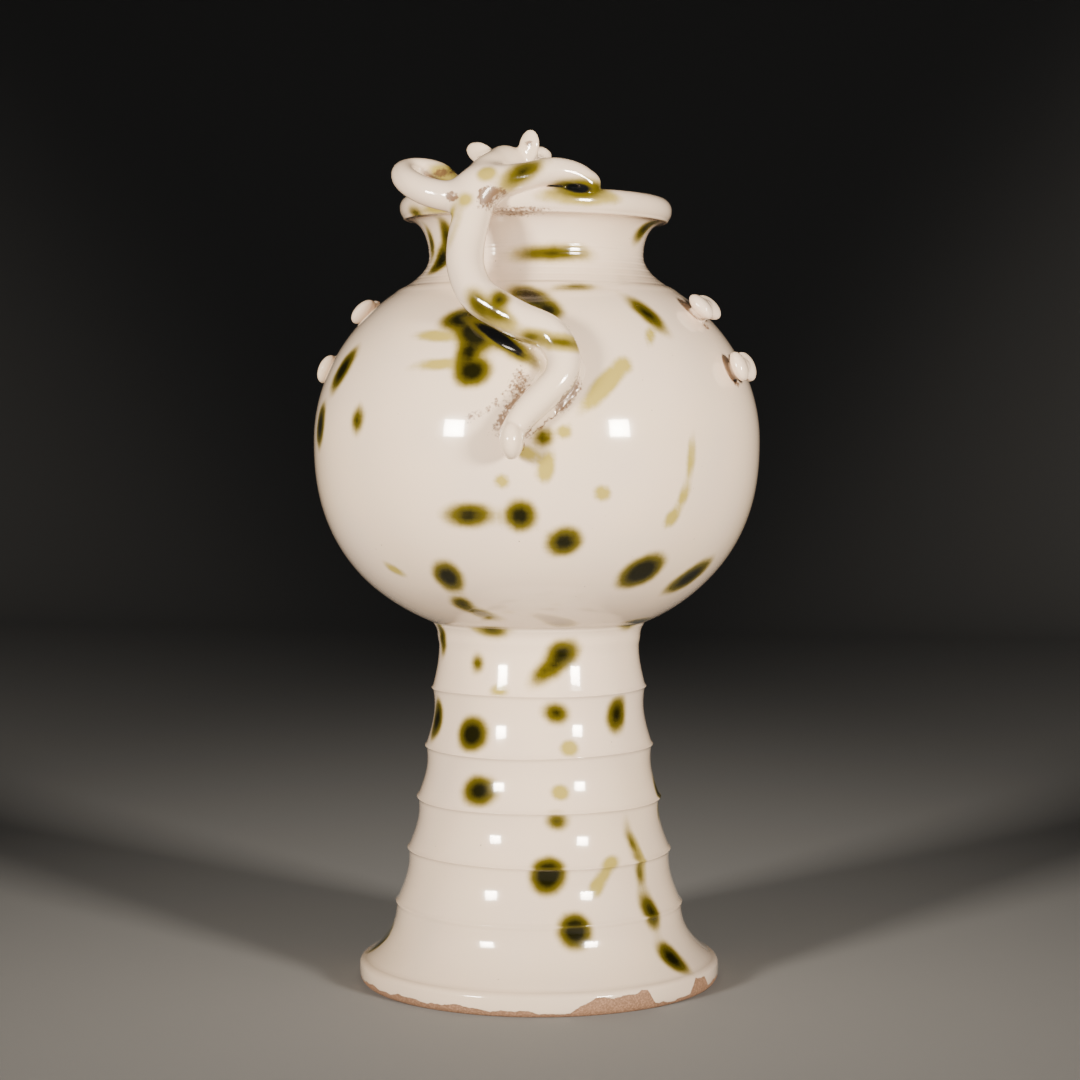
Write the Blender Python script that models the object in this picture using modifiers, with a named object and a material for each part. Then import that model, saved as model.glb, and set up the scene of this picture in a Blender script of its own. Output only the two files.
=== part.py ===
"""A jar on a tall ribbed foot, with a dragon as its handle and two pairs of studs, in one fired piece.

Metres, +Z up. The jar stands on the ground. The dragon is on the -Y side, and the jar's axis is set back
from it, towards +Y, so that the origin is below the middle of the whole.
"""

import math

import bmesh
import bpy
from mathutils import Matrix, Vector

# Foot
FOOT_HEIGHT = 0.1466
FOOT_TOP_RADIUS = 0.0422
FOOT_SKIRT_RADIUS = 0.0586
FOOT_LIP_RADIUS = 0.0740
FOOT_LIP_HEIGHT = 0.0105
FOOT_LIP_WIDEST = 0.35  # of the lip's height
FOOT_LIP_SHOULDER = (0.08, 0.76)  # how far in and how far up its rounding starts, in lip heights
FOOT_BASE_INSET = 0.0016
FOOT_WALL = 0.0062
HOLLOW_WAIST_SHARE = 0.55  # of the foot's height
RIB_SHARES = (0.218, 0.369, 0.514, 0.659, 0.821)  # of the foot's height
RIB_CURVE = 1.6
SCALLOP_DEPTH = 0.0018
SCALLOP_LEAN = 0.85  # below 1 the hollow is deepest above its middle
SKIRT_CURVE = 2.4

# Globe
BELLY_RADIUS = 0.0910
BELLY_LOWER_DEPTH = 0.0822
BELLY_UPPER_DEPTH = 0.0748
LOWER_POWERS = (2.35, 2.10)  # of the height and of the radius
UPPER_POWERS = (1.95, 2.30)
WALL = 0.0055

# Neck and lip
SHOULDER_RADIUS = 0.0562
NECK_RADIUS = 0.0437
NECK_HEIGHT = 0.0379
NECK_WAIST_RISE = 0.0138
LIP_RADIUS = 0.0554
LIP_HEIGHT = 0.0099
LIP_ROLL = 0.0050
LIP_CREST_INSET = 0.0049
LIP_MOUTH_INSET = 0.0037
LIP_UNDER_INSET = 0.0012
LIP_UNDERCUT = 0.0030

# Dragon
BODY_WIDTH = 0.0146
TANGENT_SHARE = 0.65  # of the globe's upper depth, where the body leaves the globe for the lip
TAIL_TIP_ANGLE = 4.6  # degrees from the -Y side towards +X
TAIL_TIP_RISE = 0.0010
ARM_WIDTH = 0.0112
HEAD_LENGTH = 0.0390
HEAD_TURN = math.radians(-19)
EAR_LENGTH = 0.0140

# Studs
STUD_LENGTH = 0.0126
STUD_THICKNESS = 0.0062
STUD_LOBE_WIDTH = 0.0097
STUD_LOBE_SPREAD = 0.0076
STUD_LOBE_LEAN = math.radians(12)
STUD_STANDOFF = 0.0050
STUD_STEM_WIDTH = 0.0078
STUD_ROOT_SHARE = 0.8  # of the wall that the stem goes into
STUD_RISES = (0.368, 0.665)  # of the globe's upper depth
STUD_ANGLES = {"right": math.radians(-15), "left": math.radians(175)}  # from +X

# Facets
STEPS_AROUND = 48
GLAZE_COLOUR = (0.80, 0.74, 0.66, 1.0)
GLAZE_ROUGHNESS = 0.15


def clear_scene():
    for old in list(bpy.data.objects):
        bpy.data.objects.remove(old)


def new_collection(name):
    collection = bpy.data.collections.new(name)
    bpy.context.scene.collection.children.link(collection)
    return collection


def oval_height(radius, widest, depth, powers):
    """How far from its middle an oval with these powers has narrowed to a radius."""
    narrowed = 1 - (radius / widest) ** powers[1]
    return depth * narrowed ** (1 / powers[0])


def oval_radius(height, widest, depth, powers):
    share = min(abs(height) / depth, 1.0)
    return widest * (1 - share ** powers[0]) ** (1 / powers[1])


# Heights that follow from the sizes above
BELLY_MIDDLE = FOOT_HEIGHT + oval_height(FOOT_TOP_RADIUS, BELLY_RADIUS, BELLY_LOWER_DEPTH, LOWER_POWERS)
SHOULDER = BELLY_MIDDLE + oval_height(SHOULDER_RADIUS, BELLY_RADIUS, BELLY_UPPER_DEPTH, UPPER_POWERS)
NECK_WAIST = SHOULDER + NECK_WAIST_RISE
RIM = SHOULDER + NECK_HEIGHT
LIP_UNDERSIDE = RIM - LIP_HEIGHT
CREST_RADIUS = LIP_RADIUS - LIP_CREST_INSET


def globe_arc(inset, powers, depth, end_radius, count):
    """(radius, height above the middle) from the widest point towards a pole, up to end_radius."""
    widest = BELLY_RADIUS - inset
    deep = depth - inset
    last = math.asin(oval_height(end_radius, widest, deep, powers) / deep)
    points = []
    for i in range(count + 1):
        height = deep * math.sin(last * i / count)
        points.append((oval_radius(height, widest, deep, powers), height))
    return points


def arc(centre, radii, start, end, count):
    points = []
    for i in range(count + 1):
        angle = math.radians(start + (end - start) * i / count)
        points.append((centre[0] + radii[0] * math.cos(angle), centre[1] + radii[1] * math.sin(angle)))
    return points


def lip_outside():
    roll = arc((CREST_RADIUS, RIM - LIP_ROLL), (LIP_CREST_INSET, LIP_ROLL), 90, 0, 3)
    underside = (LIP_RADIUS - LIP_UNDER_INSET, LIP_UNDERSIDE)
    return roll + [underside, (NECK_RADIUS + LIP_UNDERCUT, LIP_UNDERSIDE - LIP_UNDERCUT)]


def neck_radius(height, waist_radius, top_radius, shoulder_radius):
    """The neck's cove: narrowest at the waist, and wider as the square of the distance from it."""
    if height > NECK_WAIST:
        share = (height - NECK_WAIST) / (LIP_UNDERSIDE - LIP_UNDERCUT - NECK_WAIST)
        return waist_radius + (top_radius - waist_radius) * share**2
    share = (NECK_WAIST - height) / (NECK_WAIST - SHOULDER)
    return waist_radius + (shoulder_radius - waist_radius) * share**2


def neck_outside():
    heights = [NECK_WAIST + NECK_WAIST_RISE * share for share in (0.35, -0.1, -0.5, -0.8)]
    top = NECK_RADIUS + LIP_UNDERCUT
    return [(neck_radius(z, NECK_RADIUS, top, SHOULDER_RADIUS), z) for z in heights]


def globe_outside():
    upper = globe_arc(0, UPPER_POWERS, BELLY_UPPER_DEPTH, SHOULDER_RADIUS, 5)
    lower = globe_arc(0, LOWER_POWERS, BELLY_LOWER_DEPTH, FOOT_TOP_RADIUS, 6)
    points = [(radius, BELLY_MIDDLE + height) for radius, height in reversed(upper)]
    return points + [(radius, BELLY_MIDDLE - height) for radius, height in lower[1:]]


def rib_radius(height):
    """The foot widens downwards, faster near the ground, from its top to its lowest rib."""
    lowest = RIB_SHARES[0] * FOOT_HEIGHT
    share = max(FOOT_HEIGHT - height, 0.0) / (FOOT_HEIGHT - lowest)
    return FOOT_TOP_RADIUS + (FOOT_SKIRT_RADIUS - FOOT_TOP_RADIUS) * share**RIB_CURVE


def skirt_radius(share, base_radius, rim_radius):
    return base_radius + (rim_radius - base_radius) * share**SKIRT_CURVE


def foot_outside():
    """Scallops between sharp ribs, then the skirt's cove, then the rounded edge of the foot."""
    ribs = [share * FOOT_HEIGHT for share in RIB_SHARES]
    edges = [FOOT_HEIGHT] + ribs[::-1]
    points = []
    for top, bottom in zip(edges, edges[1:]):
        for share in (0.2, 0.6, 1.0):
            height = top + (bottom - top) * share
            straight = rib_radius(top) + (rib_radius(bottom) - rib_radius(top)) * share
            scallop = SCALLOP_DEPTH * math.sin(math.pi * share**SCALLOP_LEAN)
            points.append((straight - scallop, height))
    inset, rise = (FOOT_LIP_HEIGHT * share for share in FOOT_LIP_SHOULDER)
    widest = FOOT_LIP_HEIGHT * FOOT_LIP_WIDEST
    cove_end = FOOT_LIP_RADIUS - widest
    for share in (0.45, 0.8, 1.0):
        height = ribs[0] + (FOOT_LIP_HEIGHT - ribs[0]) * share
        points.append((skirt_radius(share, FOOT_SKIRT_RADIUS, cove_end), height))
    points.append((FOOT_LIP_RADIUS - inset, rise))
    points.append((FOOT_LIP_RADIUS, widest))
    points.append((FOOT_LIP_RADIUS - FOOT_BASE_INSET, 0.0))
    return points


def foot_inside():
    """From the inner edge of the foot's base up the hollow to the middle of the globe's underside."""
    inner_base = FOOT_LIP_RADIUS - FOOT_BASE_INSET - FOOT_WALL
    lowest = RIB_SHARES[0] * FOOT_HEIGHT
    hollow_skirt = FOOT_SKIRT_RADIUS - FOOT_WALL
    points = []
    for share in (1.0, 0.6, 0.0):
        points.append((skirt_radius(share, hollow_skirt, inner_base), lowest * (1 - share)))
    ceiling_radius = FOOT_TOP_RADIUS - FOOT_WALL - SCALLOP_DEPTH
    waist = HOLLOW_WAIST_SHARE * FOOT_HEIGHT
    points.append((rib_radius(waist) - FOOT_WALL - SCALLOP_DEPTH, waist))
    for share in (1.0, 0.55, 0.0):
        radius = ceiling_radius * share
        dip = oval_height(radius, BELLY_RADIUS, BELLY_LOWER_DEPTH, LOWER_POWERS)
        points.append((radius, BELLY_MIDDLE - dip))
    return points


def jar_inside():
    """From the middle of the floor up the inside of the globe and the neck to the rim's crest."""
    lower = globe_arc(WALL, LOWER_POWERS, BELLY_LOWER_DEPTH, 0.0, 5)
    upper = globe_arc(WALL, UPPER_POWERS, BELLY_UPPER_DEPTH, SHOULDER_RADIUS - WALL, 4)
    points = [(radius, BELLY_MIDDLE - height) for radius, height in reversed(lower)]
    points += [(radius, BELLY_MIDDLE + height) for radius, height in upper[1:]]
    waist = NECK_RADIUS - WALL
    top = NECK_RADIUS + LIP_UNDERCUT - WALL
    for share in (-0.6, 0.0, 0.8):
        height = NECK_WAIST + NECK_WAIST_RISE * share
        points.append((neck_radius(height, waist, top, SHOULDER_RADIUS - WALL), height))
    return points + arc((CREST_RADIUS, RIM - LIP_ROLL), (LIP_MOUTH_INSET, LIP_ROLL), 180, 90, 2)[:-1]


def turned(name, profile, collection):
    """A profile of (radius, height) points turned once round Z."""
    mesh = bpy.data.meshes.new(name)
    points = [(radius, 0.0, height) for radius, height in profile]
    mesh.from_pydata(points, [(i, i + 1) for i in range(len(points) - 1)], [])
    shape = bpy.data.objects.new(name, mesh)
    collection.objects.link(shape)
    screw = shape.modifiers.new("Turned on the wheel", "SCREW")
    screw.steps = STEPS_AROUND
    screw.render_steps = STEPS_AROUND
    screw.use_merge_vertices = True
    screw.merge_threshold = 0.0001
    screw.use_smooth_shade = True
    return shape


def carrier_radius(height):
    """The jar's outside below the tangent point, and above it the straight line up to the lip."""
    tangent = BELLY_MIDDLE + TANGENT_SHARE * BELLY_UPPER_DEPTH
    globe = oval_radius(min(height, tangent) - BELLY_MIDDLE, BELLY_RADIUS, BELLY_UPPER_DEPTH, UPPER_POWERS)
    if height <= tangent:
        return globe
    share = min((height - tangent) / (RIM - LIP_ROLL - tangent), 1.0)
    return globe + (LIP_RADIUS - globe) * share


def around(degrees, radius, height):
    """A point by its angle from the -Y side towards +X, its distance from the axis and its height."""
    angle = math.radians(degrees)
    return Vector((radius * math.sin(angle), -radius * math.cos(angle), height))


def smooth_route(points, pieces):
    """A Catmull-Rom curve through points of any length, with so many pieces between two of them."""
    ends = [tuple(2 * a - b for a, b in zip(points[0], points[1]))]
    ends += list(points)
    ends.append(tuple(2 * a - b for a, b in zip(points[-1], points[-2])))
    route = []
    for before, start, end, after in zip(ends, ends[1:], ends[2:], ends[3:]):
        for i in range(pieces):
            t = i / pieces
            route.append(
                tuple(
                    0.5 * (2 * b + (c - a) * t + (2 * a - 5 * b + 4 * c - d) * t**2)
                    + 0.5 * (3 * b - a - 3 * c + d) * t**3
                    for a, b, c, d in zip(before, start, end, after)
                )
            )
    route.append(tuple(points[-1]))
    return route


# The body from the tip of its tail to the nape: degrees round the jar, share of the height from the
# belly's middle to the rim, gap from the jar to the body's middle line and width, both in body widths.
BODY_ROUTE = (
    (TAIL_TIP_ANGLE, 0.045, 0.42, 0.62),
    (7.4, 0.11, 0.33, 0.76),
    (11.6, 0.18, 0.30, 0.82),
    (15.6, 0.25, 0.30, 0.86),
    (16.4, 0.335, 0.33, 0.90),
    (13.0, 0.415, 0.40, 0.94),
    (6.0, 0.46, 0.52, 0.98),
    (0.5, 0.50, 0.60, 1.0),
    (-7.0, 0.57, 0.62, 1.0),
    (-11.8, 0.67, 0.52, 1.0),
    (-13.4, 0.76, 0.42, 1.0),
    (-13.2, 0.84, 0.38, 1.0),
    (-12.6, 0.91, 0.34, 1.0),
    (-12.8, 0.975, 0.22, 1.05),
    (-12.0, 1.05, -0.40, 1.0),
    (-9.0, 1.10, -1.15, 0.95),
)

# Each arm from the shoulder to the paw: degrees round the jar, then how far out from the rim's crest, how
# far above the rim and how wide, all in arm widths.
RIGHT_ARM_ROUTE = (
    (-11.0, 0.72, -0.08, 1.05),
    (-3.0, 0.55, 0.14, 1.05),
    (6.0, 0.25, 0.32, 0.98),
    (14.0, 0.10, 0.50, 0.95),
    (21.0, 0.02, 0.52, 0.95),
    (28.0, -0.04, 0.40, 0.95),
    (33.5, -0.02, 0.14, 0.95),
)
LEFT_ARM_ROUTE = (
    (-14.0, 0.80, -0.30, 1.05),
    (-21.5, 1.05, -0.40, 1.05),
    (-30.0, 1.35, -0.22, 1.0),
    (-37.5, 1.42, 0.12, 0.95),
    (-44.0, 1.20, 0.46, 0.90),
    (-47.5, 0.72, 0.66, 0.86),
    (-45.5, 0.20, 0.68, 0.84),
    (-38.5, -0.05, 0.50, 0.84),
    (-31.5, -0.05, 0.12, 0.86),
)


def tail_tip(collection):
    """The end of the tail, turned up off the belly into an upright oval."""
    height = BELLY_MIDDLE + TAIL_TIP_RISE
    radius = carrier_radius(height) + 0.55 * BODY_WIDTH
    place = around(TAIL_TIP_ANGLE, radius, height)
    outward = Vector((place.x, place.y, 0.0))
    half_sizes = (0.42 * BODY_WIDTH, 0.29 * BODY_WIDTH, 0.46 * BODY_WIDTH)
    return lobe("tail tip", place, axes(outward, Vector((0.0, 0.0, 1.0))), half_sizes, collection, 12, 6)


def body_points():
    points = []
    for degrees, share, gap, width in smooth_route(BODY_ROUTE, 3):
        height = BELLY_MIDDLE + share * (RIM - BELLY_MIDDLE)
        radius = carrier_radius(height) + gap * BODY_WIDTH
        points.append((around(degrees, radius, height), width * BODY_WIDTH / 2))
    return points


def arm_points(route):
    points = []
    for degrees, out, up, width in smooth_route(route, 2):
        place = around(degrees, CREST_RADIUS + out * ARM_WIDTH, RIM + up * ARM_WIDTH)
        points.append((place, width * ARM_WIDTH / 2))
    return points


def rolled_clay(name, points, sides, collection):
    """A tube of the given radius at each point, made a mesh so that it can be joined."""
    curve = bpy.data.curves.new(name, "CURVE")
    curve.dimensions = "3D"
    curve.bevel_depth = 1.0
    curve.bevel_resolution = sides // 2 - 2
    curve.use_fill_caps = True
    spline = curve.splines.new("POLY")
    spline.points.add(len(points) - 1)
    for knot, (place, radius) in zip(spline.points, points):
        knot.co = (*place, 1.0)
        knot.radius = radius
    rope = bpy.data.objects.new(name + " curve", curve)
    collection.objects.link(rope)
    graph = bpy.context.evaluated_depsgraph_get()
    mesh = bpy.data.meshes.new_from_object(rope.evaluated_get(graph))
    shaped = bmesh.new()
    shaped.from_mesh(mesh)
    bmesh.ops.remove_doubles(shaped, verts=shaped.verts, dist=0.00001)
    bmesh.ops.recalc_face_normals(shaped, faces=shaped.faces)
    shaped.to_mesh(mesh)
    shaped.free()
    mesh.shade_smooth()
    tube = bpy.data.objects.new(name, mesh)
    tube.matrix_world = rope.matrix_world
    collection.objects.link(tube)
    bpy.data.objects.remove(rope)
    return tube


def lobe(name, place, turn, half_sizes, collection, segments=12, rings=8):
    """A ball of clay pressed to the given half sizes, turned and put in its place."""
    mesh = bpy.data.meshes.new(name)
    shaped = bmesh.new()
    bmesh.ops.create_uvsphere(shaped, u_segments=segments, v_segments=rings, radius=1.0)
    squash = Matrix.Diagonal((*half_sizes, 1.0))
    shaped.transform(Matrix.Translation(place) @ turn.to_4x4() @ squash)
    shaped.to_mesh(mesh)
    shaped.free()
    mesh.shade_smooth()
    ball = bpy.data.objects.new(name, mesh)
    collection.objects.link(ball)
    return ball


def axes(along, up):
    """A turn whose X axis is along, and whose Z axis is as near up as it can be."""
    x = along.normalized()
    y = up.cross(x).normalized()
    return Matrix((x, y, x.cross(y))).transposed()


def make_head(collection):
    """Skull, brow, upturned snout, jaw, eyes and ears, in shares of the head's length, in front of the nape."""
    nape, _ = body_points()[-1]
    forward = Vector((-math.sin(HEAD_TURN), math.cos(HEAD_TURN), 0.0))
    turn = axes(forward, Vector((0.0, 0.0, 1.0)))
    pieces = []

    def part(name, place, half_sizes, tilt=0.0, lean=0.0, segments=12, rings=8):
        # Place is forward, to its left and up from the nape, and tilt raises the front.
        where = nape + turn @ (Vector(place) * HEAD_LENGTH)
        way = turn @ Matrix.Rotation(-tilt, 3, "Y") @ Matrix.Rotation(lean, 3, "X")
        sizes = [share * HEAD_LENGTH for share in half_sizes]
        pieces.append(lobe(name, where, way, sizes, collection, segments, rings))

    part("skull", (0.12, 0.0, 0.0), (0.29, 0.24, 0.17))
    part("snout", (0.50, 0.0, 0.03), (0.34, 0.165, 0.105), tilt=math.radians(10))
    part("nose", (0.76, 0.0, 0.15), (0.10, 0.125, 0.10), segments=10, rings=6)
    part("jaw", (0.44, 0.0, -0.13), (0.32, 0.135, 0.065), tilt=math.radians(-6))
    for side in (-1, 1):
        part("eye", (0.28, 0.16 * side, 0.11), (0.075, 0.07, 0.075), segments=8, rings=6)
    ear = EAR_LENGTH / HEAD_LENGTH
    part("right ear", (0.10, -0.235, 0.16), (0.055, 0.10, 0.5 * ear), 0.0, math.radians(10), 10, 6)
    part("left ear", (0.06, 0.30, 0.12), (0.06, 0.11, 0.5 * ear), 0.0, math.radians(-66), 10, 6)
    return pieces


def make_stud(name, angle, rise, collection):
    """A bean of two pressed lobes, side by side on a short stem that stands square to the globe."""
    height = rise * BELLY_UPPER_DEPTH
    step = 0.01 * BELLY_UPPER_DEPTH
    radius = oval_radius(height, BELLY_RADIUS, BELLY_UPPER_DEPTH, UPPER_POWERS)
    above = oval_radius(height + step, BELLY_RADIUS, BELLY_UPPER_DEPTH, UPPER_POWERS)
    outward = Vector((math.cos(angle), math.sin(angle), 0.0))
    upward = Vector((0.0, 0.0, 1.0))
    seam = (outward * (above - radius) + upward * step).normalized()
    across = upward.cross(outward)
    normal = across.cross(seam)
    foot = outward * radius + upward * (BELLY_MIDDLE + height)
    pieces = []
    root = STUD_ROOT_SHARE * WALL
    stem_length = root + STUD_STANDOFF - STUD_THICKNESS / 6
    shaped = bmesh.new()
    bmesh.ops.create_cone(
        shaped,
        cap_ends=True,
        segments=8,
        radius1=STUD_STEM_WIDTH / 2,
        radius2=STUD_STEM_WIDTH / 2,
        depth=stem_length,
    )
    middle = foot + normal * (stem_length / 2 - root)
    shaped.transform(Matrix.Translation(middle) @ axes(seam, normal).to_4x4())
    mesh = bpy.data.meshes.new(name + " stem")
    shaped.to_mesh(mesh)
    shaped.free()
    stem = bpy.data.objects.new(name + " stem", mesh)
    collection.objects.link(stem)
    pieces.append(stem)
    for side in (-1, 1):
        place = foot + normal * STUD_STANDOFF + across * (side * STUD_LOBE_SPREAD / 2)
        turn = axes(seam, normal) @ Matrix.Rotation(STUD_LOBE_LEAN * side, 3, "X")
        half_sizes = (STUD_LENGTH / 2, STUD_LOBE_WIDTH / 2, STUD_THICKNESS / 2)
        pieces.append(lobe(f"{name} lobe", place, turn, half_sizes, collection, 10, 6))
    return pieces


def glaze():
    material = bpy.data.materials.new("white glaze")
    material.use_nodes = True
    shader = material.node_tree.nodes["Principled BSDF"]
    shader.inputs["Base Color"].default_value = GLAZE_COLOUR
    shader.inputs["Roughness"].default_value = GLAZE_ROUGHNESS
    shader.inputs["Metallic"].default_value = 0.0
    return material


def join(shape, piece, solver):
    union = shape.modifiers.new("Luted on: " + piece.name, "BOOLEAN")
    union.operation = "UNION"
    union.solver = solver
    union.object = piece
    piece.hide_render = True
    piece.display_type = "WIRE"


def stand_over_middle(jar, pieces):
    """Moves the jar back under an empty, so that the ground's origin is below the middle of the whole box."""
    front = max(-corner.co.y for piece in pieces for corner in piece.data.vertices)
    axis = bpy.data.objects.new("Jar axis", None)
    bpy.context.scene.collection.objects.link(axis)
    axis.location.y = (front - BELLY_RADIUS) / 2
    for shape in [jar] + pieces:
        shape.parent = axis


def main():
    clear_scene()
    jar_parts = new_collection("Dragon handled jar")
    clay = new_collection("Clay that is luted on")
    profile = jar_inside() + lip_outside() + neck_outside() + globe_outside()
    profile += foot_outside() + foot_inside()
    jar = turned("dragon_handled_jar", profile, jar_parts)
    jar.data.materials.append(glaze())
    pieces = [
        rolled_clay("body", body_points(), 10, clay),
        rolled_clay("right arm", arm_points(RIGHT_ARM_ROUTE), 8, clay),
        rolled_clay("left arm", arm_points(LEFT_ARM_ROUTE), 8, clay),
    ]
    pieces.append(tail_tip(clay))
    pieces += make_head(clay)
    studs = []
    for side, angle in STUD_ANGLES.items():
        for level, rise in zip(("lower", "upper"), STUD_RISES):
            studs += make_stud(f"{level} {side} stud", angle, rise, clay)
    for piece in pieces:
        join(jar, piece, "EXACT")
    # On a wider globe the exact solver leaves open edges round a stud's stem, and this one doesn't.
    for piece in studs:
        join(jar, piece, "MANIFOLD")
    stand_over_middle(jar, pieces + studs)


main()
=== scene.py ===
# %% [markdown]
# # A white jar with a dragon for its handle
#
# The jar is one fired piece. A potter threw a globe with a short neck and a rolled lip, threw a tall ribbed
# foot, joined the two, and then luted on soft clay: a dragon that climbs from the belly to the rim and looks
# into the mouth, and two pairs of pressed studs. A warm white glaze with green splashes covers it all but the
# edge that it stands on.
#
# The CAD frame holds the jar as one plain solid. This lesson makes its fine surface in three pieces, which
# all stand for that solid: the thrown jar, the dragon and the studs.

# %% Load the frame
import math

import bpy
import numpy as np
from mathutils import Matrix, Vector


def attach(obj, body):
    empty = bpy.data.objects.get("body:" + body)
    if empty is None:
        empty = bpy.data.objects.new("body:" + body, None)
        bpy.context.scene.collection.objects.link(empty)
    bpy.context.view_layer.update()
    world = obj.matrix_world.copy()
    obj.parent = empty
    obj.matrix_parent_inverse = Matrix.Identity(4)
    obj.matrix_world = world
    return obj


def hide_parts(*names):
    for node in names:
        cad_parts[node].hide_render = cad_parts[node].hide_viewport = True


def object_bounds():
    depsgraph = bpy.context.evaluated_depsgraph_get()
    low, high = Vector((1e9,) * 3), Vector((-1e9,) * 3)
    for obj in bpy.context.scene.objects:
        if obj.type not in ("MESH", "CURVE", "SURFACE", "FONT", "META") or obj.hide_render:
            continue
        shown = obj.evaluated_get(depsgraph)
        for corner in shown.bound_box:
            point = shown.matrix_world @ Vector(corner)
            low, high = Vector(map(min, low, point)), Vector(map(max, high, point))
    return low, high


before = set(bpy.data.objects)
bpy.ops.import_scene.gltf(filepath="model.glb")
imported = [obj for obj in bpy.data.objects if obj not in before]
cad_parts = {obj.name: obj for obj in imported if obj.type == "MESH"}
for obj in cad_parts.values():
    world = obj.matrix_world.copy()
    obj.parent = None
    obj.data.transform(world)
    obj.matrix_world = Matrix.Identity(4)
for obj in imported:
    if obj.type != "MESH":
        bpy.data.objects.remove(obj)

import openvdb
from mathutils import Vector

CAD_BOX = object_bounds()
print("The solid jar's box:", CAD_BOX)

# %% [markdown]
# ## Where the jar stands
#
# The dragon stands out in front, so the middle of the whole box isn't the jar's own axis. The globe touches
# the back of the box, and one radius in front of that is the axis. Everything is worked out round the axis
# and moved there at the end, in the mesh, so that each object itself stays at the origin.

# %% The jar's axis
BELLY_RADIUS = 0.0910
AXIS = np.array([0.0, CAD_BOX[1][1] - BELLY_RADIUS, 0.0])
print("Axis at y =", round(float(AXIS[1]), 4))


def around(degrees, radius, height):
    """A point by its angle from the -Y side towards +X, its distance from the axis and its height."""
    angle = np.radians(degrees)
    return np.stack(np.broadcast_arrays(radius * np.sin(angle), -radius * np.cos(angle), height), axis=-1)


# %% [markdown]
# ## The camera
#
# It looks at the jar from a little to the right of the dragon, at about the height of the belly and tipped
# down a little, through a long lens, so that the foot and the rim show as flat ovals.

# %% Camera
CAMERA_SIDE = math.radians(10)
CAMERA_DISTANCE = 1.017
CAMERA_HEIGHT = 0.2325
CAMERA_TIP = math.radians(2.93)
CAMERA_TURN = math.radians(-0.074)
CAMERA_LENS = 82.67


def make_camera():
    camera = bpy.data.objects.new("camera", bpy.data.cameras.new("camera"))
    camera.data.lens = CAMERA_LENS
    x = math.sin(CAMERA_SIDE) * CAMERA_DISTANCE
    y = AXIS[1] - math.cos(CAMERA_SIDE) * CAMERA_DISTANCE
    camera.location = (x, y, CAMERA_HEIGHT)
    camera.rotation_euler = (math.pi / 2 - CAMERA_TIP, 0, CAMERA_SIDE + CAMERA_TURN)
    bpy.context.scene.collection.objects.link(camera)
    bpy.context.scene.camera = camera
    return camera


print("Camera:", make_camera().name)

# %% [markdown]
# ## The profile of the thrown jar
#
# A thrown pot is a surface of revolution, so one outline in radius and height settles it. The outline could
# be drawn as a spline by eye, but a few formulas keep its sizes honest: two half ovals with their own powers
# for the globe, a cove that grows with the square of the distance for the neck, hollows between sharp ribs
# for the foot, and a power curve for its skirt.

# %% Sizes of the jar
FOOT_HEIGHT = 0.1466
FOOT_TOP_RADIUS = 0.0422
FOOT_SKIRT_RADIUS = 0.0586
FOOT_LIP_RADIUS = 0.0740
FOOT_WALL = 0.0062
RIB_SHARES = np.array([0.218, 0.369, 0.514, 0.659, 0.821])  # of the foot's height
RIB_CURVE = 1.6
SCALLOP_DEPTH = 0.0018
SCALLOP_LEAN = 0.85
SKIRT_CURVE = 2.4

BELLY_LOWER_DEPTH = 0.0822
BELLY_UPPER_DEPTH = 0.0748
LOWER_POWERS = (2.35, 2.10)  # of the height and of the radius
UPPER_POWERS = (1.95, 2.30)
WALL = 0.0055

SHOULDER_RADIUS = 0.0562
NECK_RADIUS = 0.0437
NECK_HEIGHT = 0.0379
NECK_WAIST_RISE = 0.0138
LIP_RADIUS = 0.0554
LIP_HEIGHT = 0.0099
LIP_ROLL = 0.0050
LIP_CREST_INSET = 0.0049
LIP_MOUTH_INSET = 0.0037


def oval_radius(height, widest, depth, powers):
    """widest * (1 - (height / depth) ** p) ** (1 / q), the outline of a squared or pointed oval."""
    share = np.clip(np.abs(height) / depth, 0, 1)
    return widest * (1 - share ** powers[0]) ** (1 / powers[1])


def oval_height(radius, widest, depth, powers):
    """The same outline solved for the height at which it has narrowed to a radius."""
    return depth * (1 - (radius / widest) ** powers[1]) ** (1 / powers[0])


BELLY_MIDDLE = FOOT_HEIGHT + oval_height(FOOT_TOP_RADIUS, BELLY_RADIUS, BELLY_LOWER_DEPTH, LOWER_POWERS)
SHOULDER = BELLY_MIDDLE + oval_height(SHOULDER_RADIUS, BELLY_RADIUS, BELLY_UPPER_DEPTH, UPPER_POWERS)
NECK_WAIST = SHOULDER + NECK_WAIST_RISE
RIM = SHOULDER + NECK_HEIGHT
CREST_RADIUS = LIP_RADIUS - LIP_CREST_INSET
LIP_UNDERSIDE = RIM - LIP_HEIGHT
print("Belly, shoulder and rim heights:", [round(float(z), 4) for z in (BELLY_MIDDLE, SHOULDER, RIM)])


# %% Curves for the outline
def rows_of(radius, height):
    return np.stack([radius, height], axis=1)


def bend(start, pull, end, count):
    """A quadratic curve from start to end that leaves and arrives towards pull, as (radius, height) rows."""
    t = np.linspace(0, 1, count)[:, None]
    start, pull, end = (np.array(point) for point in (start, pull, end))
    return (1 - t) ** 2 * start + 2 * t * (1 - t) * pull + t**2 * end


def arc(centre, radii, start, end, count):
    """An elliptical arc between two angles in degrees, as (radius, height) rows."""
    angle = np.radians(np.linspace(start, end, count))
    return rows_of(centre[0] + radii[0] * np.cos(angle), centre[1] + radii[1] * np.sin(angle))


def bead(height, middle, tall, wide):
    """A small rounded ridge: tall * exp(-((height - middle) / wide) ** 2)."""
    return tall * np.exp(-(((height - middle) / wide) ** 2))


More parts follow.
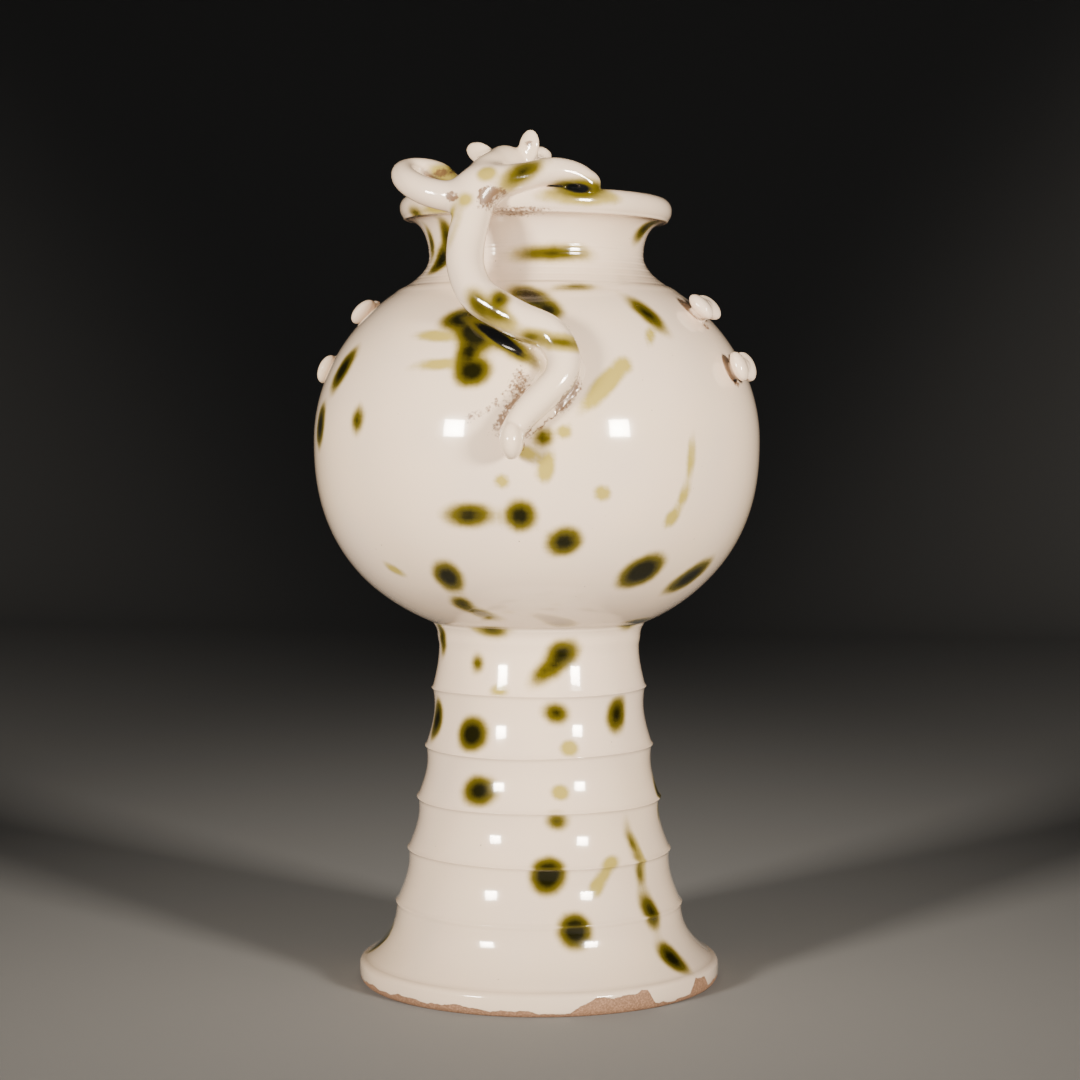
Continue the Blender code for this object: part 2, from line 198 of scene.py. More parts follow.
def globe_arc(inset, powers, depth, end_radius, count):
    """Rows from the widest point towards a pole, evenly spaced in the angle whose sine is the height."""
    widest, deep = BELLY_RADIUS - inset, depth - inset
    last = math.asin(min(oval_height(end_radius, widest, deep, powers) / deep, 1.0))
    height = deep * np.sin(np.linspace(0, last, count))
    return rows_of(oval_radius(height, widest, deep, powers), height)


# %% Lip and neck outline
FACE_BOW = 0.0025
UNDER_CORNER = 0.0009
UNDER_INSET = 0.0014
UNDER_RADIUS = LIP_RADIUS - UNDER_INSET
COVE_TOP = (0.0441, 0.3006)
COVE_PULL = (0.0463, LIP_UNDERSIDE + 0.0002)
TURNING_DEPTH = 0.00010
TURNING_WAVES = (3600, 1130)  # radians to the metre
RIDGE_LIFT = 0.0006
RIDGE_TALL = 0.0005
RIDGE_WIDE = 0.0007


def lip_outside():
    """A quarter oval over the rim, a slightly bowed face, a tight corner and a flat underside."""
    roll = arc((CREST_RADIUS, RIM - LIP_ROLL), (LIP_CREST_INSET, LIP_ROLL), 90, 0, 14)
    corner_top = LIP_UNDERSIDE + UNDER_CORNER
    face = bend(roll[-1], (LIP_RADIUS, RIM - LIP_ROLL - FACE_BOW), (UNDER_RADIUS, corner_top), 8)
    corner = arc((UNDER_RADIUS - UNDER_CORNER, corner_top), (UNDER_CORNER, UNDER_CORNER), 0, -90, 6)
    return np.vstack([roll, face[1:], corner[1:]])


def neck_outside():
    """A tight cove under the lip, then the neck, which widens with the square of the way to the shoulder."""
    cove = bend(lip_outside()[-1], COVE_PULL, COVE_TOP, 16)
    height = np.linspace(COVE_TOP[1], SHOULDER, 56)[1:-1]
    upper = np.clip((height - NECK_WAIST) / (COVE_TOP[1] - NECK_WAIST), 0, 1)
    lower = np.clip((NECK_WAIST - height) / NECK_WAIST_RISE, 0, 1)
    radius = NECK_RADIUS + (COVE_TOP[0] - NECK_RADIUS) * upper**2 + (SHOULDER_RADIUS - NECK_RADIUS) * lower**2
    lines = np.sin(height * TURNING_WAVES[0]) * np.sin(height * TURNING_WAVES[1] + 1.0)
    radius += TURNING_DEPTH * lines + bead(height, SHOULDER + RIDGE_LIFT, RIDGE_TALL, RIDGE_WIDE)
    return np.vstack([cove[1:], rows_of(radius, height)])


# %% Globe and foot outline
COLLAR_DROP = 0.0058
COLLAR_TALL = 0.0004
COLLAR_WIDE = 0.0012
JOINT_FLARE = 0.0012
JOINT_REACH = 0.0024
RIB_TALL = 0.0005
RIB_WIDE = 0.0006


def globe_outside():
    upper = globe_arc(0, UPPER_POWERS, BELLY_UPPER_DEPTH, SHOULDER_RADIUS, 44)
    lower = globe_arc(0, LOWER_POWERS, BELLY_LOWER_DEPTH, FOOT_TOP_RADIUS + JOINT_FLARE, 46)
    upper[:, 0] += bead(upper[:, 1], SHOULDER - BELLY_MIDDLE, RIDGE_TALL, RIDGE_WIDE)
    rows = np.vstack([upper[::-1], lower[1:] * (1, -1)])
    return rows + (0, BELLY_MIDDLE)


def rib_radius(height):
    """The line through the ribs: it widens downwards with a power of the way to the lowest rib."""
    share = np.clip(FOOT_HEIGHT - height, 0, None) / (FOOT_HEIGHT * (1 - RIB_SHARES[0]))
    return FOOT_TOP_RADIUS + (FOOT_SKIRT_RADIUS - FOOT_TOP_RADIUS) * share**RIB_CURVE


def ribbed_foot():
    """Between two ribs a straight line less a leaning half sine, and on each rib a fine sharp bead."""
    ribs = np.append(RIB_SHARES, 1.0)[::-1] * FOOT_HEIGHT
    rows = []
    for top, bottom in zip(ribs, ribs[1:]):
        share = 0.5 - 0.5 * np.cos(np.pi * np.linspace(0, 1, 22)[1:])
        height = top + (bottom - top) * share
        line = rib_radius(top) + (rib_radius(bottom) - rib_radius(top)) * share
        rows.append(rows_of(line - SCALLOP_DEPTH * np.sin(np.pi * share**SCALLOP_LEAN), height))
    rows = np.vstack(rows)
    rows[:, 0] += bead(rows[:, 1], FOOT_HEIGHT - COLLAR_DROP, COLLAR_TALL, COLLAR_WIDE)
    rows[:, 0] += JOINT_FLARE * np.exp((rows[:, 1] - FOOT_HEIGHT) / JOINT_REACH)
    for rib in ribs[1:]:
        rows[:, 0] += bead(rows[:, 1], rib, RIB_TALL, RIB_WIDE)
    return rows


EDGE_START = 0.0094  # height of the edge's upper corner
EDGE_INSET = 0.0030
EDGE_FACE = 0.0070  # height from which the face is upright
CHAMFER_TOP = 0.0030
BASE_CHAMFER = 0.0016


def edge_point(inset, height):
    """A point near the foot's edge, by how far it is inside the widest circle."""
    return FOOT_LIP_RADIUS - inset, height


def foot_skirt():
    """The cove sweeps out as a power of the way down, then the rounded edge, and its bare chamfer."""
    lowest = RIB_SHARES[0] * FOOT_HEIGHT
    share = np.linspace(0, 1, 22)[1:]
    start = FOOT_LIP_RADIUS - EDGE_INSET
    radius = FOOT_SKIRT_RADIUS + (start - FOOT_SKIRT_RADIUS) * share**SKIRT_CURVE
    cove = rows_of(radius, lowest + (EDGE_START - lowest) * share)
    over = bend(cove[-1], edge_point(0.0002, EDGE_START - 0.0006), edge_point(0.0001, EDGE_FACE), 10)
    face = bend(over[-1], edge_point(-0.0001, 0.0050), edge_point(0.0001, CHAMFER_TOP), 6)
    chamfer = bend(face[-1], edge_point(0.0004, 0.0009), edge_point(BASE_CHAMFER, 0.0), 6)
    return np.vstack([cove, over[1:], face[1:], chamfer[1:]])


# %% Inside outlines
def foot_inside():
    """Up the hollow foot at an even wall, then across the underside of the globe to the axis."""
    lowest = RIB_SHARES[0] * FOOT_HEIGHT
    base = FOOT_LIP_RADIUS - BASE_CHAMFER - FOOT_WALL
    flat = rows_of(np.linspace(FOOT_LIP_RADIUS - BASE_CHAMFER, base, 5)[1:], np.zeros(4))
    share = np.linspace(1, 0, 12)[1:]
    hollow = FOOT_SKIRT_RADIUS - FOOT_WALL
    cove = rows_of(hollow + (base - hollow) * share**SKIRT_CURVE, lowest * (1 - share))
    height = np.linspace(lowest, FOOT_HEIGHT - 0.006, 16)[1:]
    tube = rows_of(rib_radius(height) - FOOT_WALL - SCALLOP_DEPTH, height)
    radius = np.linspace(tube[-1, 0] - 0.004, 0, 10)
    roof = BELLY_MIDDLE - oval_height(radius, BELLY_RADIUS, BELLY_LOWER_DEPTH, LOWER_POWERS)
    return np.vstack([flat, cove, tube, rows_of(radius, roof)])


def jar_inside():
    """From the floor's middle up the globe and the neck, one wall inside the outline, to the rim's crest."""
    lower = globe_arc(WALL, LOWER_POWERS, BELLY_LOWER_DEPTH, 0.0, 26)
    upper = globe_arc(WALL, UPPER_POWERS, BELLY_UPPER_DEPTH, SHOULDER_RADIUS - WALL, 20)
    globe = np.vstack([lower[::-1] * (1, -1), upper[1:]]) + (0, BELLY_MIDDLE)
    waist = (NECK_RADIUS - WALL, NECK_WAIST)
    throat = bend(globe[-1], (waist[0], NECK_WAIST - 0.005), waist, 8)
    mouth = (CREST_RADIUS - LIP_MOUTH_INSET, RIM - LIP_ROLL)
    neck = bend(waist, (waist[0], NECK_WAIST + 0.008), mouth, 9)
    roll = arc((CREST_RADIUS, mouth[1]), (LIP_MOUTH_INSET, LIP_ROLL), 180, 90, 9)
    return np.vstack([globe, throat[1:], neck[1:], roll[1:-1]])


OUTSIDE = np.vstack([lip_outside(), neck_outside(), globe_outside(), ribbed_foot(), foot_skirt()])
OUTLINE = np.vstack([jar_inside(), OUTSIDE, foot_inside()])
print("Outline points:", len(OUTLINE), "of them outside:", len(OUTSIDE))

# %% [markdown]
# ## From outline to pot
#
# The outline goes round the axis as a grid of points, height by angle. A pot off a hand-turned wheel is never
# quite true, so the same function leans the rim, sets the foot a hair to one side and lets the ribs waver.

# %% Turn the outline
STEPS_AROUND = 224
RIM_LEAN = 0.012
FOOT_SET = 0.0009
NECK_SET = -0.0004
WAVER = 0.0004
FOOT_FADE = 0.02
RIB_FADE = (0.014, 0.035)
TOP_FADE = 0.012


def smooth_step(value, low, high):
    """Runs from 0 at low to 1 at high without a corner at either end: 3 t^2 - 2 t^3."""
    t = np.clip((value - low) / (high - low), 0, 1)
    return t * t * (3 - 2 * t)


def hand_thrown(points):
    """Moves points of a true pot to where the hand left them.

    Sideways, seen from the camera: the foot a little right and the neck a little left. In height: the rim
    leans down to the right, and the ribs waver by two slow sines, which fade out at the base and the globe.
    """
    x, y, z = points.T
    side = x * math.cos(CAMERA_SIDE) + y * math.sin(CAMERA_SIDE)
    angle = np.arctan2(x, -y)
    shift = FOOT_SET * (1 - smooth_step(z, FOOT_HEIGHT - 0.002, FOOT_HEIGHT + FOOT_FADE))
    shift = shift + NECK_SET * smooth_step(z, SHOULDER, LIP_UNDERSIDE)
    lift = -RIM_LEAN * side * smooth_step(z, NECK_WAIST, LIP_UNDERSIDE)
    ribs = smooth_step(z, *RIB_FADE) * (1 - smooth_step(z, FOOT_HEIGHT - TOP_FADE, FOOT_HEIGHT))
    lift = lift + WAVER * ribs * (np.sin(angle + z * 60) + 0.5 * np.sin(3 * angle - z * 90 + 1.3))
    return np.stack([x + shift * math.cos(CAMERA_SIDE), y + shift * math.sin(CAMERA_SIDE), z + lift], axis=1)


def turned(outline, steps):
    """Points and faces of an outline turned once round the axis, with one point at each pole."""
    rings = outline[1:-1]
    turn = np.arange(steps) * (360 / steps)
    grid = around(turn[None, :], rings[:, :1], rings[:, 1:]).reshape(-1, 3)
    poles = np.array([[0, 0, outline[0, 1]], [0, 0, outline[-1, 1]]])
    here = np.arange(len(grid)).reshape(len(rings), steps)
    beside = np.roll(here, -1, axis=1)
    quads = np.stack([here[:-1], here[1:], beside[1:], beside[:-1]], axis=-1).reshape(-1, 4)
    first, last = np.full(steps, len(grid)), np.full(steps, len(grid) + 1)
    caps = np.vstack([np.stack([first, here[0], beside[0]], 1), np.stack([last, beside[-1], here[-1]], 1)])
    return np.vstack([grid, poles]), quads, caps


def new_piece(name, points, *faces):
    """A smooth mesh object from rows of points and blocks of faces, quads or triangles."""
    mesh = bpy.data.meshes.new(name)
    corners = np.concatenate([block.ravel() for block in faces]).astype(np.int32)
    sizes = np.concatenate([np.full(len(block), block.shape[1]) for block in faces])
    mesh.vertices.add(len(points))
    mesh.vertices.foreach_set("co", points.astype(np.float32).ravel())
    mesh.loops.add(len(corners))
    mesh.loops.foreach_set("vertex_index", corners)
    mesh.polygons.add(len(sizes))
    mesh.polygons.foreach_set("loop_start", (np.cumsum(sizes) - sizes).astype(np.int32))
    mesh.update(calc_edges=True)
    mesh.shade_smooth()
    piece = bpy.data.objects.new(name, mesh)
    bpy.context.scene.collection.objects.link(piece)
    print(name, "points:", len(points), "faces:", len(sizes))
    return piece


TRUE_POT, POT_QUADS, POT_CAPS = turned(OUTLINE, STEPS_AROUND)
POT = hand_thrown(TRUE_POT)
jar = new_piece("thrown_jar", POT + AXIS, POT_QUADS, POT_CAPS)

# %% [markdown]
# ## Clay as a field of distances
#
# The dragon is rolls and lumps of soft clay, pushed together and smoothed with a wet finger. Overlapping
# tubes would show a hard line at each joint, and a Boolean keeps that line. A field of signed distances does
# what the finger does: every roll and lump gives its distance at each point of a grid, a soft minimum joins
# two of them with a fillet of a chosen size, and the surface is drawn where the field is zero.

# %% Clay
FAR = 0.02
CLAY_REACH = 0.008


def soft_min(a, b, blend):
    """The smaller of two distances. Where they differ by less than blend, a fillet dips below both."""
    mix = np.clip(0.5 + 0.5 * (b - a) / blend, 0, 1)
    return b + (a - b) * mix - blend * mix * (1 - mix)


class Clay:
    """A block of clay as signed distances on a regular grid, in metres, below zero inside."""

    def __init__(self, low, high, pitch):
        self.low, self.pitch = np.array(low), pitch
        self.rulers = [np.arange(a, b, pitch) for a, b in zip(low, high)]
        self.depth = np.full([len(ruler) for ruler in self.rulers], FAR, dtype=np.float32)

    def near(self, low, high):
        """The slices of the grid between two corners, and the coordinates there."""
        part = tuple(slice(*np.searchsorted(r, (a, b))) for r, a, b in zip(self.rulers, low, high))
        return part, np.meshgrid(*(r[s] for r, s in zip(self.rulers, part)), indexing="ij", sparse=True)

    def roll(self, route, radii):
        """Distances to a roll: to the nearest straight piece of its route, less the radius there."""
        rolled = np.full_like(self.depth, FAR)
        for start, end, first, last in zip(route, route[1:], radii, radii[1:]):
            reach = max(first, last) + CLAY_REACH
            part, (x, y, z) = self.near(np.minimum(start, end) - reach, np.maximum(start, end) + reach)
            way = end - start
            share = (x - start[0]) * way[0] + (y - start[1]) * way[1] + (z - start[2]) * way[2]
            share = np.clip(share / (way @ way), 0, 1)
            gap = (x - start[0] - share * way[0]) ** 2 + (y - start[1] - share * way[1]) ** 2
            gap = np.sqrt(gap + (z - start[2] - share * way[2]) ** 2) - first - (last - first) * share
            rolled[part] = np.minimum(rolled[part], gap)
        return rolled

    def lump(self, place, turn, half_sizes):
        """Distances to a pressed ball: k (k - 1) / |p / size^2|, where k = |p / size| in its own axes."""
        lumped = np.full_like(self.depth, FAR)
        reach = max(half_sizes) + CLAY_REACH
        part, (x, y, z) = self.near(place - reach, place + reach)
        away = np.stack(np.broadcast_arrays(x - place[0], y - place[1], z - place[2]), axis=-1) @ turn
        size = np.array(half_sizes)
        near = np.linalg.norm(away / size, axis=-1)
        lumped[part] = near * (near - 1) / np.maximum(np.linalg.norm(away / size**2, axis=-1), 1e-6)
        return lumped

    def add(self, distances, blend):
        self.depth = soft_min(self.depth, distances, blend)

    def cut(self, distances, blend):
        self.depth = -soft_min(-self.depth, distances, blend)

    def read(self, points, distances=None):
        """The field between grid points, from the eight nearest ones. Points off the grid read as far."""
        field = self.depth if distances is None else distances
        place = (points - self.low) / self.pitch
        inside = np.all((place >= 0) & (place < np.array(field.shape) - 1), axis=1)
        corner = np.floor(np.where(inside[:, None], place, 0)).astype(int)
        share = np.where(inside[:, None], place, 0) - corner
        total = np.zeros(len(points))
        for offset in np.ndindex(2, 2, 2):
            weight = np.prod(np.where(offset, share, 1 - share), axis=1)
            total += weight * field[tuple((corner + offset).T)]
        return np.where(inside, total, FAR)

    def surface(self):
        """Points and quads where the field is zero."""
        grid = openvdb.FloatGrid(background=FAR)
        grid.copyFromArray(self.depth)
        points, quads = grid.convertToQuads(isovalue=0.0)
        return points * self.pitch + self.low, quads


print("The clay class is ready")

# %% [markdown]
# ## The jar's own distance
#
# The dragon's fillets have to meet the pot, so the clay needs the distance to the pot too. It is the distance
# to the outline in radius and height, worked out once on a flat table and read by each grid point from its
# own radius and height.

# %% Distance to the pot's wall
TABLE_PITCH = 0.0005
TABLE_FLOOR = 0.19
TABLE_TOP = RIM + 0.03
TABLE_WIDE = BELLY_RADIUS + 0.02


def wall_table():
    """Signed distance to the closed outline on a table of radius by height, below zero in the wall.

    The nearest straight piece of the outline gives the distance. A point is in the wall where a line from it
    to the axis crosses the outline an odd number of times.
    """
    radius = np.arange(0, TABLE_WIDE, TABLE_PITCH)
    height = np.arange(TABLE_FLOOR, TABLE_TOP, TABLE_PITCH)
    r, z = (axis.ravel() for axis in np.meshgrid(radius, height, indexing="ij"))
    nearest = np.full(r.shape, 1.0)
    inside = np.zeros(r.shape, bool)
    for (r0, z0), (r1, z1) in zip(OUTLINE, OUTLINE[1:]):
        along, rise = r1 - r0, z1 - z0
        share = np.clip(((r - r0) * along + (z - z0) * rise) / max(along**2 + rise**2, 1e-12), 0, 1)
        nearest = np.minimum(nearest, np.hypot(r - r0 - share * along, z - z0 - share * rise))
        if rise != 0:
            inside ^= ((z0 > z) != (z1 > z)) & (r0 + (z - z0) * along / rise < r)
    return np.where(inside, -nearest, nearest).reshape(len(radius), len(height))


WALL_TABLE = wall_table()


def wall_distance(clay):
    """The table read at every point of a clay's grid: between its heights first, then between its radii."""
    x, y, z = np.meshgrid(*clay.rulers, indexing="ij", sparse=True)
    up = (z.ravel() - TABLE_FLOOR) / TABLE_PITCH
    low = np.clip(up.astype(int), 0, WALL_TABLE.shape[1] - 2)
    rows = WALL_TABLE[:, low] + (WALL_TABLE[:, low + 1] - WALL_TABLE[:, low]) * (up - low)
    out = np.hypot(x, y)[:, :, 0] / TABLE_PITCH
    near = np.clip(out.astype(int), 0, WALL_TABLE.shape[0] - 2)
    share = (out - near)[:, :, None]
    return (rows[near] * (1 - share) + rows[near + 1] * share).astype(np.float32)


print("Wall table:", WALL_TABLE.shape)

# %% [markdown]
# ## The dragon's routes
#
# Each roll of clay follows a few given points: an angle round the jar, a height and a distance from
# it, and a width. A Catmull-Rom curve goes through them, as a roll laid down by hand bends evenly.

# %% Routes
BODY_WIDTH = 0.0146
TANGENT_SHARE = 0.65
TAIL_TIP_ANGLE = 4.6
TAIL_TIP_RISE = 0.0010
ARM_WIDTH = 0.0112

# Degrees round the jar, share of the height from the belly's middle to the rim, gap from the jar to the
# body's middle line and width, both in body widths, from the tail to the nape.
BODY_ROUTE = np.array([
    (TAIL_TIP_ANGLE, 0.045, 0.42, 0.62),
    (7.4, 0.11, 0.33, 0.76),
    (11.6, 0.18, 0.30, 0.82),
    (15.6, 0.25, 0.30, 0.86),
    (16.4, 0.335, 0.33, 0.90),
    (13.0, 0.415, 0.40, 0.94),
    (6.0, 0.46, 0.52, 0.98),
    (0.5, 0.50, 0.60, 1.0),
    (-7.0, 0.57, 0.62, 1.0),
    (-11.8, 0.67, 0.52, 1.0),
    (-13.4, 0.76, 0.42, 1.0),
    (-13.2, 0.84, 0.38, 1.0),
    (-12.6, 0.91, 0.34, 1.0),
    (-12.8, 0.975, 0.22, 1.05),
    (-12.0, 1.05, -0.40, 1.0),
    (-9.0, 1.10, -1.15, 0.95),
])

# Degrees round the jar, then out from the rim's crest, up from the rim and width, in arm widths.
RIGHT_ARM_ROUTE = np.array([
    (-11.0, 0.72, -0.08, 1.05),
    (-3.0, 0.55, 0.14, 1.05),
    (6.0, 0.25, 0.32, 0.98),
    (14.0, 0.10, 0.50, 0.95),
    (21.0, 0.02, 0.52, 0.95),
    (28.0, -0.04, 0.40, 0.95),
    (33.5, -0.02, 0.14, 0.95),
])
LEFT_ARM_ROUTE = np.array([
    (-14.0, 0.80, -0.30, 1.05),
    (-21.5, 1.05, -0.40, 1.05),
    (-30.0, 1.35, -0.22, 1.0),
    (-37.5, 1.42, 0.12, 0.95),
    (-44.0, 1.20, 0.46, 0.90),
    (-47.5, 0.72, 0.66, 0.86),
    (-45.5, 0.20, 0.68, 0.84),
    (-38.5, -0.05, 0.50, 0.84),
    (-31.5, -0.05, 0.12, 0.86),
])


def smooth_route(knots, pieces):
    """A Catmull-Rom curve through rows of any length, with so many pieces between two of them."""
    ends = np.vstack([2 * knots[0] - knots[1], knots, 2 * knots[-1] - knots[-2]])
    t = (np.arange(pieces) / pieces)[:, None]
    a, b, c, d = (ends[i : len(ends) - 3 + i, None] for i in range(4))
    curve = 0.5 * (2 * b + (c - a) * t + (2 * a - 5 * b + 4 * c - d) * t**2 + (3 * b - a - 3 * c + d) * t**3)
    return np.vstack([curve.reshape(-1, knots.shape[1]), knots[-1:]])


def carrier_radius(height):
    """The globe up to its tangent height, and above it the straight line up to the lip."""
    tangent = BELLY_MIDDLE + TANGENT_SHARE * BELLY_UPPER_DEPTH
    below = np.minimum(height, tangent) - BELLY_MIDDLE
    globe = oval_radius(below, BELLY_RADIUS, BELLY_UPPER_DEPTH, UPPER_POWERS)
    share = np.clip((height - tangent) / (RIM - LIP_ROLL - tangent), 0, 1)
    return globe + (LIP_RADIUS - globe) * share


def body_roll(knots=BODY_ROUTE, pieces=6):
    degrees, share, gap, width = smooth_route(knots, pieces).T
    height = BELLY_MIDDLE + share * (RIM - BELLY_MIDDLE)
    return around(degrees, carrier_radius(height) + gap * BODY_WIDTH, height), width * BODY_WIDTH / 2


def arm_roll(knots, pieces=5):
    degrees, out, up, width = smooth_route(knots, pieces).T
    places = around(degrees, CREST_RADIUS + out * ARM_WIDTH, RIM + up * ARM_WIDTH)
    return places, width * ARM_WIDTH / 2


BODY_PLACES, BODY_RADII = body_roll()
BODY_LENGTH = np.linalg.norm(np.diff(BODY_PLACES, axis=0), axis=1).sum()
print("Dragon's body, length in mm:", round(1000 * float(BODY_LENGTH)))

# %% [markdown]
# ## Fusing the dragon
#
# The rolls overlap at the shoulders, and the head is lumps pressed on in front of the nape. A thin apron of
# glaze lies along the tail on both sides, where glaze ran into the joint and stopped with a ragged edge. The
# fillets that meet the pot dip just under its surface, and whatever lies deep in the wall or far from the
# dragon is cut away, so that the piece is closed and nothing of it doubles the pot's own surface.

# %% Head
HEAD_LENGTH = 0.0390
HEAD_TURN = math.radians(-19)
EAR_LENGTH = 0.0140
HEAD_BLENDS = (0.0030, 0.0016, 0.0007)
# Each ear: its place, its half width, both in head lengths, and its lean in degrees.
EARS = (((0.10, -0.235, 0.17), 0.115, 10), ((0.06, 0.30, 0.12), 0.11, -66))


def turn_matrix(along, up):
    """Columns are three square axes: along, to its left, and as near up as it can be."""
    x = along / np.linalg.norm(along)
    y = np.cross(up, x)
    y = y / np.linalg.norm(y)
    return np.stack([x, y, np.cross(x, y)], axis=1)


def tilted(turn, tilt=0.0, lean=0.0, swing=0.0):
    """A turn whose front is raised by tilt, rolled by lean and swung to its left, all in degrees."""
    t, l, s = np.radians([tilt, lean, swing])
    raise_front = np.array([[np.cos(t), 0, -np.sin(t)], [0, 1, 0], [np.sin(t), 0, np.cos(t)]])
    roll_over = np.array([[1, 0, 0], [0, np.cos(l), -np.sin(l)], [0, np.sin(l), np.cos(l)]])
    swing_left = np.array([[np.cos(s), -np.sin(s), 0], [np.sin(s), np.cos(s), 0], [0, 0, 1]])
    return turn @ swing_left @ raise_front @ roll_over


NAPE = BODY_PLACES[-1]
HEAD_WAY = turn_matrix(np.array([-math.sin(HEAD_TURN), math.cos(HEAD_TURN), 0.0]), np.array([0.0, 0.0, 1.0]))


def press_head(clay):
    """Skull, brows, snout, nose, jaw, eyes, nostrils and ears, in head lengths from the nape."""

    def lump(place, half_sizes, **turns):
        where = NAPE + HEAD_WAY @ (np.array(place) * HEAD_LENGTH)
        return clay.lump(where, tilted(HEAD_WAY, **turns), np.array(half_sizes) * HEAD_LENGTH)

    soft, firm, crisp = HEAD_BLENDS
    clay.add(lump((0.12, 0.0, 0.0), (0.29, 0.24, 0.17)), soft)
    clay.add(lump((0.50, 0.0, 0.03), (0.34, 0.165, 0.105), tilt=10), soft)
    clay.add(lump((0.76, 0.0, 0.15), (0.10, 0.125, 0.10)), firm)
    clay.add(lump((0.44, 0.0, -0.13), (0.32, 0.135, 0.065), tilt=-6), crisp)
    for side in (-1, 1):
        clay.add(lump((0.28, 0.16 * side, 0.11), (0.075, 0.07, 0.075)), crisp)
        clay.add(lump((0.25, 0.15 * side, 0.165), (0.13, 0.05, 0.035), swing=-14 * side), firm)
        clay.cut(lump((0.80, 0.07 * side, 0.215), (0.035, 0.025, 0.04)), crisp)
    ear = EAR_LENGTH / HEAD_LENGTH
    for place, size, lean in EARS:
        clay.add(lump(place, (0.055, size, 0.5 * ear), lean=lean), firm)
        hollow = (place[0] + 0.075, place[1], place[2] + 0.01)
        clay.cut(lump(hollow, (0.04, 0.6 * size, 0.36 * ear), lean=lean), crisp)


# %% Fuse the dragon
CLAY_PITCH = 0.0006
SHOULDER_BLEND = 0.0060
JOINT_BLEND = 0.0009
SUNK = 0.0003
ROOT_DEPTH = 0.0026
ROOT_REACH = 0.0042
APRON_REACH = 0.0030
APRON_THICK = 0.0007
APRON_TOP = 0.262
APRON_BLEND = 0.0005
APRON_FADE = 0.012
APRON_WITHDRAWAL = 0.004
APRON_WAVER = 0.0007
# Radians to the metre along x, y and z, and where the wave starts.
APRON_WAVES = ((900, 400, 700, 0.0), (1500, -800, -1300, 2.0), (2600, 0, 1900, 4.0))
CLAY_MARGIN = 0.014
HEAD_ROOM = (0.03, 0.05, 0.02)
TAIL_TIP_GAP = 0.55  # in body widths, as are the half sizes
TAIL_TIP_SIZES = np.array((0.42, 0.31, 0.50))
TAIL_TIP_BLEND = 0.0003
RELAX_ROUNDS = 5


def apron_reach(x, y, z):
    """How far the apron runs out: its reach and a ragged mean of sines, less a fade towards its top."""
    waver = sum(np.sin(a * x + b * y + c * z + start) for a, b, c, start in APRON_WAVES) / len(APRON_WAVES)
    fade = APRON_WITHDRAWAL * smooth_step(z, APRON_TOP - APRON_FADE, APRON_TOP)
    return APRON_REACH + APRON_WAVER * waver - fade


def meet_pot(clay, alone, wall, blend, reach):
    """Fillets the clay against the pot, and cuts away what is deep in its wall or far from the clay alone."""
    clay.add(wall + SUNK, blend)
    clay.depth = np.maximum(clay.depth, -wall - ROOT_DEPTH)
    clay.depth = np.maximum(clay.depth, alone - reach)


def fuse_dragon():
    """The dragon's clay, and beside it the plain distance to the dragon on the same grid."""
    places = np.vstack([BODY_PLACES, arm_roll(RIGHT_ARM_ROUTE)[0], arm_roll(LEFT_ARM_ROUTE)[0]])
    low = places.min(axis=0) - CLAY_MARGIN
    high = np.maximum(places.max(axis=0) + CLAY_MARGIN, NAPE + HEAD_ROOM)
    clay = Clay(low, high, CLAY_PITCH)
    body = clay.roll(BODY_PLACES, BODY_RADII)
    clay.depth = soft_min(body, clay.roll(*arm_roll(RIGHT_ARM_ROUTE)), SHOULDER_BLEND)
    clay.add(clay.roll(*arm_roll(LEFT_ARM_ROUTE)), SHOULDER_BLEND)
    press_head(clay)
    tip_height = BELLY_MIDDLE + TAIL_TIP_RISE
    tip = around(TAIL_TIP_ANGLE, carrier_radius(tip_height) + TAIL_TIP_GAP * BODY_WIDTH, tip_height)
    tip_way = turn_matrix(tip * (1, 1, 0), np.array([0.0, 0.0, 1.0]))
    clay.add(clay.lump(tip, tip_way, TAIL_TIP_SIZES * BODY_WIDTH), TAIL_TIP_BLEND)
    dragon = clay.depth.copy()
    wall = wall_distance(clay)
    x, y, z = np.meshgrid(*clay.rulers, indexing="ij", sparse=True)
    apron = np.maximum(np.abs(wall) - APRON_THICK, dragon - apron_reach(x, y, z))
    clay.add(apron, APRON_BLEND)
    meet_pot(clay, dragon, wall, JOINT_BLEND, ROOT_REACH)
    return clay, dragon


def quad_edges(quads):
    """Every edge of every quad, as pairs of point numbers."""
    return np.stack([quads, np.roll(quads, -1, axis=1)], axis=-1).transpose(1, 0, 2).reshape(-1, 2)


def largest_part(points, quads):
    """Keeps the one connected part with the most points: labels spread along edges until they settle."""
    label = np.arange(len(points))
    edges = quad_edges(quads)
    while True:
        before = label.copy()
        lowest = np.minimum(label[edges[:, 0]], label[edges[:, 1]])
        np.minimum.at(label, edges[:, 0], lowest)
        np.minimum.at(label, edges[:, 1], lowest)
        label = label[label]
        if np.array_equal(before, label):
            break
    keep = label == np.bincount(label).argmax()
    order = np.cumsum(keep) - 1
    return points[keep], order[quads[keep[quads[:, 0]]]]


def relaxed(points, quads, rounds):
    """Each round moves a point half way to the mean of its neighbours, as a wet finger smooths clay."""
    edges = quad_edges(quads)
    count = np.bincount(edges.ravel(), minlength=len(points))
    for _ in range(rounds):
        total = np.zeros_like(points)
        for axis in range(3):
            total[:, axis] += np.bincount(edges[:, 0], points[edges[:, 1], axis], len(points))
            total[:, axis] += np.bincount(edges[:, 1], points[edges[:, 0], axis], len(points))
        points = 0.5 * points + 0.5 * total / count[:, None]
    return points


